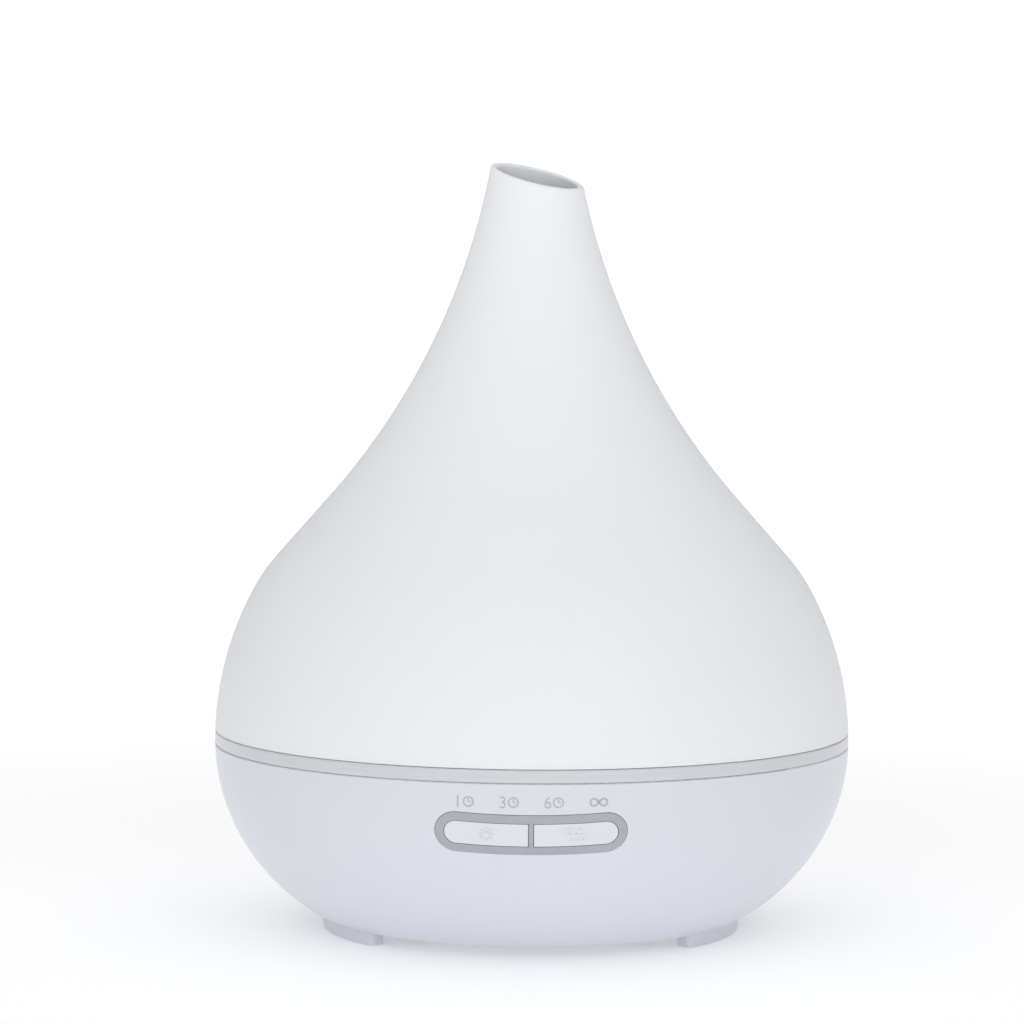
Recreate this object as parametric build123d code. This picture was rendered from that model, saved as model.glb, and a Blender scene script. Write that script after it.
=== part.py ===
"""Ultrasonic essential oil diffuser: a teardrop cover over a round water tank and a bowl-shaped base.

Millimetres. Z is up, the floor is at z = 0 and the Z axis runs through the middle of the base.
The buttons face -Y and the power socket faces +Y.
"""
import os
from math import atan2, cos, degrees, radians, sin, sqrt, tan

from build123d import *

# ---- overall form -----------------------------------------------------------------------------------
rim_radius = 84.0            # widest radius, where the cover meets the base
rim_height = 50.1            # height of the widest level
bowl_reach = 55.6            # radial half-axis of the bowl's elliptical side
bowl_sink = 3.3              # the ellipse's lowest point would lie this far below the floor
base_bottom = 3.6            # underside of the bowl
ring_drop = 0.85             # lower edge of the grey trim ring below the widest level
ring_height = 3.35           # height of the trim ring's visible band
rim_edge_radius = 0.45       # rounding of the bowl's upper edge
ring_edge_radius = 0.4       # rounding of the trim ring's visible edges

# ---- cover ------------------------------------------------------------------------------------------
cover_wall = 1.8
shoulder_radius = 83.8       # lower convex arc of the cover's outline
shoulder_lean = 28.2         # lean from vertical at the end of that arc, degrees
crown_radius = 48.2          # tighter convex arc above it
crown_lean = 41.4            # lean of the straight flank, degrees
flank_length = 20.7
neck_radius = 180.4          # long concave arc up the neck
mouth_rise = 149.32          # slanted mouth above the widest level, on the Z axis
mouth_slant = 16.05          # tilt of the mouth from level, degrees
mouth_turn = -37.3           # direction in which the mouth slopes down, degrees from +X
mouth_edge_radius = 0.75
cover_edge_radius = 0.4
cover_gap = 0.12             # cover's lower edge above the trim ring

# ---- seats at the rim -------------------------------------------------------------------------------
shell_wall = 2.2
seat_drop = 3.05             # ledge inside the base shell, where the tank hangs, below the trim ring
seat_thickness = 1.4
seat_width = 2.6
flange_thickness = 1.6
fit_gap = 0.3                # clearance between pieces that drop into each other
ring_lip_width = 5.75        # radial width of the trim ring's visible band
ring_skirt_width = 1.8
gasket_thickness = 1.0
skirt_wall = 1.6             # cover's locating skirt
skirt_gap = 0.6              # skirt inside the trim ring
shelf_thickness = 1.4
seal_width = 1.05
seal_height = 3.1
seal_bead = 0.5
seal_bead_height = 0.9
seal_fit = 0.06              # running fit of the seal in the skirt

# ---- water tank -------------------------------------------------------------------------------------
tank_side_gap = 9.5          # tank's rim inside the widest radius
tank_wall = 2.0
tank_rim_rise = 1.95         # tank's rim above the trim ring's lower edge
tank_over_duct = 0.4         # tank's underside above the air duct
boss_depth = 4.6             # block under the tank's floor that holds the ultrasonic disc
disc_radius = 10.0
disc_thickness = 1.2
disc_lift = 0.8              # disc above the block's underside
disc_seal_cover = 0.6        # seal above the disc
disc_seal_wall = 1.6         # seal round the disc
well_radius = 8.0            # water well above the disc
well_mouth_radius = 13.0
tower_x = -33.0              # air tower that stands in the tank
tower_y = 41.0
tower_radius = 8.0
tower_wall = 1.8
tower_rise = 0.8             # tower's top above the ledge that the tank hangs on
pillar_radius = 3.2          # screw pillars from the tank down to the bottom plate
pillar_angles = (30, 150, 225, 315)

# ---- inner lid --------------------------------------------------------------------------------------
lid_wall = 1.6
lid_rim_height = 1.5
lid_rise = 17.3              # dome from the lid's rim up to the chimney
lid_bulge = 6.0
chimney_bore = 8.0
chimney_length = 34.0
lid_collar_depth = 2.5

# ---- bottom -----------------------------------------------------------------------------------------
foot_inset = 0.54            # feet inside the bowl's lower edge
foot_width = 4.2
foot_half_span = 41.5        # each foot runs this many degrees either side of +X or -X
foot_corner = 1.4
pad_width = 2.2
pad_depth = 0.75             # groove for the anti-slip pad
pad_proud = 0.25             # pad below the foot
pad_span = 17.0
pad_angles = (24.0, -24.0, 156.0, 204.0)
plate_inset = 5.2            # bottom plate's edge inside the feet's outer face
plate_thickness = 2.0
plate_gap = 0.2
plate_seat_width = 3.5       # ledge in the shell over the plate's edge
plate_seat_thickness = 1.6
cup_radius = 4.2             # raised cup round each plate screw
cup_height = 1.4
plate_screw_shank = 1.4
plate_screw_head = 2.6
plate_screw_head_height = 1.6
plate_screw_length = 12.0
thread_gap = 0.05

# ---- fan --------------------------------------------------------------------------------------------
fan_size = 30.0
fan_corner = 2.5
fan_depth = 10.0
fan_y = 28.0
fan_stand = 1.0
fan_bore = 14.0
fan_hole_inset = 3.0
fan_screw_shank = 1.0
fan_screw_head = 1.9
fan_screw_head_height = 1.4
rotor_radius = 13.6
hub_radius = 7.0
hub_wall = 1.0
blade_count = 7
blade_pitch = 38.0
blade_chord = 6.4
blade_thickness = 0.8
shaft_radius = 1.0
bush_radius = 2.2
shaft_fit = 0.03
slot_width = 2.2             # air slots in the bottom plate
slot_pitch = 4.2

# ---- air duct ---------------------------------------------------------------------------------------
duct_wall = 1.3
duct_seat = 0.2              # duct above the fan
duct_height = 5.8
duct_collar_height = 1.4
duct_collar_gap = 0.2        # collar around the air tower

# ---- button panel -----------------------------------------------------------------------------------
panel_drop = 14.1            # panel's middle below the widest level
bezel_length = 48.0
bezel_height = 10.6
bezel_ring = 2.15            # width of the bezel's ring
bezel_divider = 1.17
bezel_proud = 0.12
bezel_flange = 1.0           # flange behind the shell, all round
bezel_flange_depth = 0.9
hole_gap = 0.1
button_gap = 0.16
button_proud = 0.1
button_flange = 0.8
button_flange_depth = 0.9
button_travel = 0.5
button_stop_gap = 0.25
icon_proud = 0.22
icon_line = 0.55
icon_height = 3.5
post_radius = 2.0
stem_radius = 1.5
stem_length = 1.75
stem_fit = 0.06
switch_size = 6.0
board_depth = 8.4            # front of the control board behind the panel's middle
control_post_radius = 2.0
control_hole_end = 4.0       # screw holes stop this far behind the panel's middle
control_screw_end_gap = 0.4
control_board_length = 40.0
control_board_low = -12.0    # control board's lower and upper edge, from the panel's middle
control_board_high = 4.4
control_board_thickness = 1.2
control_screw_x = 16.0
control_screw_v = -9.4
control_screw_shank = 0.9
control_screw_head = 1.7
control_screw_head_height = 1.2
legend_spacing = 11.2        # distance between neighbouring timer marks
led_length = 2.0
led_width = 1.0
led_height = 1.1
guide_drop = 5.15            # light guide's underside below the trim ring
guide_thickness = 1.5
guide_depth = 5.5
guide_half_span = 14.5

# ---- boards inside ----------------------------------------------------------------------------------
board_thickness = 1.6
main_board_length = 52.0
main_board_width = 34.0
main_board_rear = -4.0       # rear edge of the main board
main_board_stand = 4.0
main_screw_inset = 3.5
small_screw_shank = 1.0
small_screw_head = 1.9
small_screw_head_height = 1.4
standoff_radius = 2.5
clamp_thickness = 1.2
clamp_radius = 12.9
clamp_bore = 7.0
ear_radius = 2.6
ear_ring = 14.4
ear_angles = (-90, 30, 150)
light_board_inner = 17.6
light_board_outer = 27.0
light_board_drop = 1.6       # light board below the tank's underside
light_board_thickness = 1.2
light_screw_ring = 24.4
light_screw_angles = (-180, -90, 0)
light_screw_shank = 0.9
light_screw_head = 1.8
light_led_ring = 22.3
light_led_count = 8
light_led_step = 30.0

# ---- power socket -----------------------------------------------------------------------------------
socket_height = 17.0
socket_recess = 6.2          # radius of the recess round the plug
socket_recess_wall = 1.5
socket_fan_room = 14.03      # from the fan's back to the wall that holds the socket
socket_wall_thickness = 2.0
socket_barrel = 4.0
socket_barrel_length = 13.5
socket_flange = 5.5
socket_flange_depth = 1.5
socket_bore = 2.9
socket_bore_depth = 9.0
socket_pin_radius = 1.05
socket_pin_length = 8.0
socket_pin_root = 0.8        # radius of the pin's root, held in the socket's body
socket_pin_root_length = 2.0
socket_nut_flat = 10.0
socket_nut_depth = 2.0
lead_radius = 0.9
connector_length = 4.8
connector_width = 4.0
connector_height = 4.6
connector_wall = 0.7
connector_mouth = 1.0        # depth of the opening a plug goes into
fan_connector = (-18.0, -14.5)
light_connector = (-22.0, -24.0)
disc_connector = (-6.0, -33.0)
socket_connector = (21.0, -27.5)
control_connector = (16.5, -33.5)

# ---- levels that follow from the sizes above ---------------------------------------------------------
bowl_centre = rim_radius - bowl_reach
bowl_drop = rim_height + bowl_sink
ring_bottom = rim_height - ring_drop
ring_top = ring_bottom + ring_height
seat_top = ring_bottom - seat_drop
mouth_height = rim_height + mouth_rise
plate_top = base_bottom + plate_thickness
cup_top = plate_top + cup_height
flange_top = seat_top + flange_thickness
cover_bottom = ring_top + cover_gap
fan_low = plate_top + fan_stand
fan_high = fan_low + fan_depth
duct_low = fan_high + duct_seat
duct_top = duct_low + duct_height
tank_radius = rim_radius - tank_side_gap
tank_underside = duct_top + tank_over_duct
tank_rim_top = ring_bottom + tank_rim_rise
tower_top = seat_top + tower_rise
boss_underside = tank_underside - boss_depth
disc_height = boss_underside + disc_lift
light_board_top = tank_underside - light_board_drop
lid_spring = tank_rim_top + lid_rim_height
lid_peak = lid_spring + lid_rise
chimney_top = lid_peak + chimney_length
panel_height = rim_height - panel_drop
guide_low = ring_bottom - guide_drop
guide_high = guide_low + guide_thickness
board_low = plate_top + main_board_stand
board_top = board_low + board_thickness
clamp_low = boss_underside - clamp_thickness
large = 400.0                # size of cutting blocks, beyond every piece


def rod(radius, low, high, x=0.0, y=0.0):
    """Upright round bar between two levels."""
    return Pos(x, y, (low + high) / 2) * Cylinder(radius, high - low)


def tube(outer, inner, low, high, x=0.0, y=0.0):
    """Upright tube between two levels."""
    return rod(outer, low, high, x, y) - rod(inner, low, high, x, y)


def block(x_low, x_high, y_low, y_high, z_low, z_high):
    """Square block between two corners."""
    middle = Pos((x_low + x_high) / 2, (y_low + y_high) / 2, (z_low + z_high) / 2)
    return middle * Box(x_high - x_low, y_high - y_low, z_high - z_low)


def around(angle, radius):
    """X and Y of a point on a circle about the Z axis."""
    return radius * cos(radians(angle)), radius * sin(radians(angle))


def edge_cutter(radius, level, rounding, way):
    """Ring that rounds off a sharp outer edge: way is 1 for an upper edge and -1 for a lower one."""
    side = rounding + 1
    corner = Pos(radius - rounding + side / 2, level - way * (rounding - side / 2)) * Rectangle(side, side)
    arc = Pos(radius - rounding, level - way * rounding) * Circle(rounding)
    return revolve(Plane.XZ * (corner - arc), Axis.Z)


def headed_screw(x, y, seat, shank, length, head, head_height, head_below=True):
    """Upright screw; its head lies below or above the seat and its shank the other way."""
    way = 1 if head_below else -1
    shank_low, shank_high = sorted((seat, seat + way * length))
    head_low, head_high = sorted((seat, seat - way * head_height))
    body = rod(shank, shank_low, shank_high, x, y) + rod(head, head_low, head_high, x, y)
    slot_level = seat - way * head_height
    slot_low, slot_high = sorted((slot_level, slot_level + way * head_height / 2))
    slot = Pos(x, y, (slot_low + slot_high) / 2)
    cross = Box(head * 1.2, 0.5, slot_high - slot_low) + Box(0.5, head * 1.2, slot_high - slot_low)
    return body - slot * cross


def save(name, *pieces):
    """Write the pieces of one node to its own file."""
    solids = [solid for piece in pieces for solid in piece.solids()]
    shape = solids[0] if len(solids) == 1 else Compound(solids)
    export_step(shape, f"parts/{name}.step")


# ---- bowl-shaped base --------------------------------------------------------------------------------
def bowl_radius(z, inset=0.0):
    """Radius of the bowl's side at a height, or of a surface inset from it."""
    drop = (rim_height - z) / (bowl_drop - inset)
    return bowl_centre + (bowl_reach - inset) * sqrt(1 - drop * drop)


foot_radius = bowl_radius(base_bottom) - foot_inset
plate_radius = foot_radius - plate_inset
pillar_ring = plate_radius - plate_seat_width - fit_gap - cup_radius
socket_wall_front = fan_y + fan_size / 2 + socket_fan_room


def bowl_solid(inset, low, high):
    """Everything inside the bowl's side, or inside a surface inset from it, between two levels."""
    reach = bowl_reach - inset
    drop = bowl_drop - inset
    side = EllipticalCenterArc((bowl_centre, rim_height), reach, drop, -90, arc_size=90)
    top = max(high, rim_height) + 1
    outline = Polyline(side @ 1, (bowl_centre + reach, top), (0, top), (0, rim_height - drop), side @ 0)
    solid = revolve(Plane.XZ * make_face([side, *outline.edges()]), Axis.Z)
    return solid & rod(large, low, high)


panel_radius = bowl_radius(panel_height)
panel_dip = atan2((rim_height - panel_height) / bowl_drop**2, (panel_radius - bowl_centre) / bowl_reach**2)
panel = Plane(
    origin=(0, -panel_radius, panel_height),
    x_dir=(1, 0, 0),
    z_dir=(0, -cos(panel_dip), -sin(panel_dip)),
)


def panel_prism(sketch, low, high):
    """A sketch on the panel, drawn out between two depths along the panel's normal."""
    return extrude(panel.offset(low) * sketch, high - low)


def bowl_skin(shape, outer, inner):
    """The part of a shape between two surfaces offset outward from the bowl's side."""
    return shape & (bowl_solid(-outer, 0, rim_height) - bowl_solid(-inner, 0, rim_height))


def bezel_outline(grow):
    return SlotOverall(bezel_length + 2 * grow, bezel_height + 2 * grow)


def button_window(side, grow, divider_grow=None):
    """Opening for one button: round at its outer end, square at the divider."""
    shrink = bezel_ring - grow
    pill = SlotOverall(bezel_length - 2 * shrink, bezel_height - 2 * shrink)
    edge = bezel_divider / 2 - (grow if divider_grow is None else divider_grow)
    half = Pos(side * (edge + bezel_length / 2), 0) * Rectangle(bezel_length, large)
    return pill & half


def socket_rod(radius, near, far):
    """Round bar along the power socket's axis, between two distances from the middle."""
    return Pos(0, (near + far) / 2, socket_height) * Rot(90, 0, 0) * Cylinder(radius, far - near)


def ring_sector(outer, inner, low, high, middle, half_span):
    """Piece of an upright ring, centred on an angle."""
    start = middle - half_span
    points = [around(start + half_span * 2 * step / 6, outer * 1.5) for step in range(7)]
    wedge = extrude(Plane.XY.offset(low) * Polygon((0, 0), *points, align=None), high - low)
    return tube(outer, inner, low, high) & wedge


def foot(middle):
    inner = foot_radius - foot_width
    wall = ring_sector(foot_radius, inner, pad_proud, base_bottom + 0.5, middle, foot_half_span)
    corners = [
        edge
        for edge in wall.edges().filter_by(Axis.Z)
        if abs(sqrt(edge.center().X ** 2 + edge.center().Y ** 2) - foot_radius) < 0.01
        and abs(abs(degrees(atan2(edge.center().Y, edge.center().X)) - middle) % 360) > 1
    ]
    return fillet(corners, foot_corner)


def pad_middle_radius():
    return foot_radius - foot_width / 2


def foot_pad(middle, gap):
    half = pad_width / 2 + gap
    span = pad_span / 2 + degrees(gap / pad_middle_radius())
    radius = pad_middle_radius()
    return ring_sector(radius + half, radius - half, 0, pad_proud + pad_depth, middle, span)


def make_base_shell():
    shell = bowl_solid(0, base_bottom, ring_bottom)
    shell -= bowl_solid(shell_wall, plate_top + plate_seat_thickness, rim_height)
    shell -= edge_cutter(bowl_radius(ring_bottom), ring_bottom, rim_edge_radius, 1)
    shell -= rod(plate_radius + plate_gap, base_bottom, plate_top)
    shell -= rod(plate_radius - plate_seat_width, base_bottom, rim_height)
    seat_radius = bowl_radius(seat_top, shell_wall)
    seat = tube(seat_radius + shell_wall / 2, seat_radius - seat_width, seat_top - seat_thickness, seat_top)
    seat -= ring_sector(rim_radius, seat_radius - 2 * seat_width, 0, rim_height, -90, guide_half_span + 2)
    shell += seat
    for middle in (0, 180):
        shell += foot(middle)
    for middle in pad_angles:
        shell -= foot_pad(middle, 0.05)
    for side in (-1, 1):
        spot = Pos(side * control_screw_x, control_screw_v)
        post = panel_prism(spot * Circle(control_post_radius), -board_depth, 0)
        shell += post & bowl_solid(shell_wall / 2, base_bottom, rim_height)
        hole = Circle(control_screw_shank + thread_gap)
        shell -= panel_prism(spot * hole, -board_depth, -control_hole_end)
    recess_back = socket_wall_front - socket_wall_thickness
    recess = socket_rod(socket_recess + socket_recess_wall, recess_back, rim_radius)
    shell += recess & bowl_solid(0.01, base_bottom, rim_height)
    shell -= socket_rod(socket_recess, socket_wall_front, rim_radius + 5)
    shell -= socket_rod(socket_barrel + hole_gap, socket_wall_front - 5, rim_radius)
    shell -= panel_prism(bezel_outline(hole_gap), -15, 15) & block(-large, large, -large, 0, 0, large)
    return shell


def make_trim_ring():
    lip_radius = rim_radius - 0.05
    lip = tube(lip_radius, rim_radius - ring_lip_width, ring_bottom, ring_top)
    lip -= edge_cutter(lip_radius, ring_bottom, ring_edge_radius, -1)
    lip -= edge_cutter(lip_radius, ring_top, ring_edge_radius, 1)
    skirt_outer = bowl_radius(ring_bottom, shell_wall) - fit_gap
    return lip + tube(skirt_outer, skirt_outer - ring_skirt_width, flange_top, ring_bottom)


def make_bottom_plate():
    plate = rod(plate_radius, base_bottom, plate_top)
    head_seat = base_bottom + plate_screw_head_height + 0.2
    for angle in pillar_angles:
        x, y = around(angle, pillar_ring)
        plate += rod(cup_radius, base_bottom, cup_top, x, y)
        plate -= rod(plate_screw_head + 0.2, base_bottom, head_seat, x, y)
        plate -= rod(plate_screw_shank + 0.2, base_bottom, cup_top, x, y)
    for x, y in main_screw_spots():
        plate += rod(standoff_radius, base_bottom + 1, board_low, x, y)
        plate -= rod(small_screw_shank + thread_gap, plate_top, board_low, x, y)
    for x, y in fan_screw_spots():
        plate += rod(standoff_radius, base_bottom + 1, fan_low, x, y)
        plate -= rod(fan_screw_shank + thread_gap, base_bottom + 0.8, fan_low, x, y)
    reach = fan_bore - 1
    rows = int(reach // slot_pitch)
    for row in range(-rows, rows + 1):
        half = sqrt(reach**2 - (row * slot_pitch) ** 2) - slot_width / 2
        slot = Pos(0, fan_y + row * slot_pitch) * SlotOverall(2 * half, slot_width)
        plate -= extrude(Plane.XY.offset(base_bottom) * slot, plate_thickness)
    return plate


def make_plate_screws():
    seat = base_bottom + plate_screw_head_height + 0.2
    size = (plate_screw_shank, plate_screw_length, plate_screw_head, plate_screw_head_height)
    return [headed_screw(*around(angle, pillar_ring), seat, *size) for angle in pillar_angles]


# ---- water tank --------------------------------------------------------------------------------------
def tank_solid(inset, top):
    """Everything inside the tank's rounded side, or inside a surface inset from it."""
    reach = tank_radius - bowl_centre - inset
    drop = rim_height - tank_underside - inset
    side = EllipticalCenterArc((bowl_centre, rim_height), reach, drop, -90, arc_size=90)
    outline = Polyline(side @ 1, (bowl_centre + reach, top), (0, top), (0, rim_height - drop), side @ 0)
    return revolve(Plane.XZ * make_face([side, *outline.edges()]), Axis.Z)


def make_water_tank():
    tank = tank_solid(0, tank_rim_top)
    flange_radius = bowl_radius(seat_top, shell_wall) - fit_gap
    tank += rod(flange_radius, seat_top, flange_top)
    tank += rod(clamp_radius, boss_underside, tank_underside + tank_wall / 2)
    for angle in ear_angles:
        x, y = around(angle, ear_ring)
        tank += rod(ear_radius, boss_underside, tank_underside + tank_wall / 2, x, y)
        tank -= rod(small_screw_shank + thread_gap, boss_underside, tank_underside + 0.6, x, y)
    for angle in light_screw_angles:
        x, y = around(angle, light_screw_ring)
        tank += rod(ear_radius - 0.4, light_board_top, tank_underside + tank_wall / 2, x, y)
        tank -= rod(light_screw_shank + thread_gap, light_board_top, tank_underside + 1.2, x, y)
    for angle in pillar_angles:
        x, y = around(angle, pillar_ring)
        tank += rod(pillar_radius, cup_top, tank_underside + tank_wall, x, y)
        tank -= rod(plate_screw_shank + thread_gap, cup_top, cup_top + plate_screw_length, x, y)
    tank -= tank_solid(tank_wall, tank_rim_top + 1)
    tank -= rod(tower_radius, duct_top, tower_top + 1, tower_x, tower_y)
    collar_room = tower_radius + duct_collar_gap + duct_wall + fit_gap
    tank -= rod(collar_room, duct_top, duct_top + duct_collar_height + fit_gap, tower_x, tower_y)
    well_floor = disc_height + disc_thickness + disc_seal_cover
    well_depth = tank_underside + tank_wall - well_floor
    mouth = Cone(well_radius, well_mouth_radius, well_depth)
    tank -= Pos(0, 0, well_floor + well_depth / 2) * mouth
    tank -= rod(disc_radius + disc_seal_wall, boss_underside, well_floor)
    fill_line = tube(tank_radius, tank_radius - tank_wall - 0.5, tank_rim_top - 7, tank_rim_top - 6.4)
    return tank + (fill_line & tank_solid(tank_wall / 2, tank_rim_top))


def make_air_tower():
    """Tube welded into the tank's floor; the fan's air rises through it."""
    return tube(tower_radius, tower_radius - tower_wall, duct_top, tower_top, tower_x, tower_y)


def make_tank_gasket():
    skirt_inner = bowl_radius(ring_bottom, shell_wall) - fit_gap - ring_skirt_width
    return tube(skirt_inner - 0.1, tank_radius + 0.4, flange_top, flange_top + gasket_thickness)


def make_disc_seal():
    top = disc_height + disc_thickness + disc_seal_cover
    seal = tube(disc_radius + disc_seal_wall - 0.1, well_radius, boss_underside + 0.1, top)
    return seal - rod(disc_radius + 0.1, disc_height, disc_height + disc_thickness)


def make_disc_clamp():
    clamp = rod(clamp_radius, clamp_low, boss_underside)
    for angle in ear_angles:
        clamp += rod(ear_radius, clamp_low, boss_underside, *around(angle, ear_ring))
    for angle in ear_angles:
        clamp -= rod(small_screw_shank + 0.2, clamp_low, boss_underside, *around(angle, ear_ring))
    return clamp - rod(clamp_bore, clamp_low, boss_underside)


def make_clamp_screws():
    return [
        headed_screw(*around(angle, ear_ring), clamp_low, small_screw_shank, 5.5, small_screw_head,
                     small_screw_head_height)
        for angle in ear_angles
    ]


# ---- inner lid ---------------------------------------------------------------------------------------
def lid_dome(inset):
    """Everything under the lid's domed face, or under a surface inset from it."""
    edge = tank_radius - fit_gap - inset
    face = ThreePointArc(
        (edge, lid_spring - inset),
        ((edge + chimney_bore) / 2, (lid_spring + lid_peak) / 2 + lid_bulge - inset),
        (chimney_bore - lid_wall, lid_peak - inset + 1.2),
    )
    low = tank_rim_top + fit_gap
    outline = Polyline(face @ 1, (0, (face @ 1).Y), (0, low), (edge, low), face @ 0)
    return revolve(Plane.XZ * make_face([face, *outline.edges()]), Axis.Z)


def make_inner_lid():
    low = tank_rim_top + fit_gap
    collar = tank_radius - tank_wall - fit_gap
    lid = lid_dome(0) + tube(collar, collar - lid_wall, low - lid_collar_depth, low + 0.5)
    lid -= lid_dome(lid_wall) & rod(collar - lid_wall, low, lid_peak)
    lid += rod(chimney_bore + lid_wall, lid_peak - 4, chimney_top)
    return lid - rod(chimney_bore, low - 5, chimney_top)


# ---- cover -------------------------------------------------------------------------------------------
def cover_solid(inset):
    """Everything inside the cover's outline, or inside a surface inset from it."""
    lean = radians(shoulder_lean)
    steep = radians(crown_lean)
    low_centre = Vector(rim_radius - shoulder_radius, rim_height)
    shoulder = CenterArc(low_centre, shoulder_radius - inset, 0, shoulder_lean)
    crown_centre = low_centre + (shoulder_radius - crown_radius) * Vector(cos(lean), sin(lean))
    crown = CenterArc(crown_centre, crown_radius - inset, shoulder_lean, crown_lean - shoulder_lean)
    flank = Line(crown @ 1, (crown @ 1) + flank_length * Vector(-sin(steep), cos(steep)))
    neck_centre = crown_centre + (crown_radius + neck_radius) * Vector(cos(steep), sin(steep))
    neck_centre += flank_length * Vector(-sin(steep), cos(steep))
    neck = CenterArc(neck_centre, neck_radius + inset, 180 + crown_lean, 6 - crown_lean)
    rest = Polyline(neck @ 1, (0, (neck @ 1).Y), (0, rim_height), shoulder @ 0)
    return revolve(Plane.XZ * make_face([shoulder, crown, flank, neck, *rest.edges()]), Axis.Z)


def make_top_cover():
    cover = cover_solid(0) - cover_solid(cover_wall)
    cover -= rod(large, 0, cover_bottom)
    low_radius = rim_radius - shoulder_radius + sqrt(shoulder_radius**2 - (cover_bottom - rim_height) ** 2)
    cover -= edge_cutter(low_radius, cover_bottom, cover_edge_radius, -1)
    above = Pos(0, 0, mouth_height) * Rot(0, 0, mouth_turn) * Rot(0, mouth_slant, 0) * Pos(0, 0, 50)
    cover -= above * Box(120, 120, 100)
    cover = fillet(cover.faces().sort_by(Axis.Z)[-1].edges(), mouth_edge_radius)
    skirt_outer = skirt_radius()
    skirt_low = flange_top + gasket_thickness + fit_gap
    shelf_low = cover_bottom + 0.3
    shelf_reach = rim_radius - cover_wall / 2
    cover += tube(shelf_reach, skirt_outer - skirt_wall, shelf_low, shelf_low + shelf_thickness)
    cover += tube(skirt_outer, skirt_outer - skirt_wall, skirt_low, shelf_low + shelf_thickness / 2)
    bead_low = seal_low() + seal_height / 3 - 0.15
    groove = skirt_outer - skirt_wall + seal_bead + 0.1
    return cover - rod(groove, bead_low, bead_low + seal_bead_height + 0.3)


def skirt_radius():
    """Outside of the cover's locating skirt, which drops inside the trim ring."""
    return rim_radius - ring_lip_width - skirt_gap


def seal_low():
    return flange_top + gasket_thickness + fit_gap + 0.4


def make_cover_seal():
    outer = skirt_radius() - skirt_wall - seal_fit
    low = seal_low()
    bead_low = low + seal_height / 3
    band = tube(outer, outer - seal_width, low, low + seal_height)
    return band + tube(outer + seal_bead, outer - seal_width / 2, bead_low, bead_low + seal_bead_height)


# ---- button panel ------------------------------------------------------------------------------------
def make_button_bezel():
    seat = -shell_wall - hole_gap
    front = bowl_skin(panel_prism(bezel_outline(0), -20, 10), bezel_proud, seat)
    flange = panel_prism(bezel_outline(bezel_flange), -20, 10)
    back = bowl_skin(flange, seat, seat - bezel_flange_depth)
    bezel = front + back
    for side in (-1, 1):
        bezel -= panel_prism(button_window(side, 0), -20, 10)
    return bezel


def arc_band(x, v, radius, start, sweep):
    """Curved stroke of an icon."""
    ring = Circle(radius + icon_line / 2) - Circle(radius - icon_line / 2)
    return Pos(x, v) * ring & Pos(x, v) * sector(start, sweep, radius * 2)


def sector(start, sweep, reach):
    points = [around(start + sweep * step / 4, reach) for step in range(5)]
    return Polygon((0, 0), *points, align=None)


def lamp_icon(x):
    """Small disc with rays: the light's button."""
    icon = Pos(x, 0) * Circle(icon_height * 0.2)
    for turn in range(8):
        ray_x, ray_v = around(45 * turn, icon_height * 0.42)
        icon += Pos(x + ray_x, ray_v) * Rot(0, 0, 45 * turn) * Rectangle(icon_height * 0.2, icon_line * 0.8)
    return icon


def mist_icon(x):
    """Three rising waves: the mist's button."""
    radius = icon_height / 4
    strokes = []
    for column in (-1.5, 0, 1.5):
        strokes.append(arc_band(x + column, radius - 0.1, radius, 90, 180))
        strokes.append(arc_band(x + column, -radius + 0.1, radius, -90, 180))
    icon = strokes[0]
    for stroke in strokes[1:]:
        icon += stroke
    return icon


def button_middle(side):
    inner = bezel_divider / 2
    outer = bezel_length / 2 - bezel_ring
    return side * (inner + outer) / 2


def make_button(side, icon):
    back = shell_wall + hole_gap + bezel_flange_depth + button_stop_gap
    window = panel_prism(button_window(side, -button_gap), -20, 10)
    face = bowl_skin(window, button_proud, -back - button_flange_depth)
    wide_window = panel_prism(button_window(side, button_flange, -button_gap), -20, 10)
    flange = bowl_skin(wide_window, -back, -back - button_flange_depth)
    middle = button_middle(side)
    post = panel_prism(Pos(middle, 0) * Circle(post_radius), -stem_top_depth(), -back - 0.2)
    raised = bowl_skin(panel_prism(icon(middle), -5, 10), button_proud + icon_proud, -1.0)
    return face + flange + post + raised


def stem_top_depth():
    """Depth of the switch stem's top behind the panel's middle."""
    return board_depth - 0.9 - stem_length


def make_switch_stem(side):
    top = -stem_top_depth()
    return panel_prism(Pos(button_middle(side), 0) * Circle(stem_radius), top - stem_length, top)


def make_switch(side):
    spot = Pos(button_middle(side), 0)
    top = -stem_top_depth() - button_travel - 0.45
    body = panel_prism(spot * RectangleRounded(switch_size, switch_size, 0.6), -board_depth, top)
    return body - panel_prism(spot * Circle(stem_radius + stem_fit), -board_depth + 0.2, top)


def make_control_board():
    height = control_board_high - control_board_low
    middle = (control_board_high + control_board_low) / 2
    outline = Pos(0, middle) * RectangleRounded(control_board_length, height, 1.0)
    board = panel_prism(outline, -board_depth - control_board_thickness, -board_depth)
    for side in (-1, 1):
        spot = Pos(side * control_screw_x, control_screw_v)
        board -= panel_prism(spot * Circle(control_screw_shank + 0.2), -15, 0)
    return board


def make_control_board_screws():
    seat = -board_depth - control_board_thickness
    screws = []
    for side in (-1, 1):
        spot = Pos(side * control_screw_x, control_screw_v)
        end = -control_hole_end - control_screw_end_gap
        shank = panel_prism(spot * Circle(control_screw_shank), seat, end)
        head = panel_prism(spot * Circle(control_screw_head), seat - control_screw_head_height, seat)
        screws.append(shank + head)
    return screws


def legend_places():
    return [legend_spacing * step for step in (-1.5, -0.5, 0.5, 1.5)]


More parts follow.
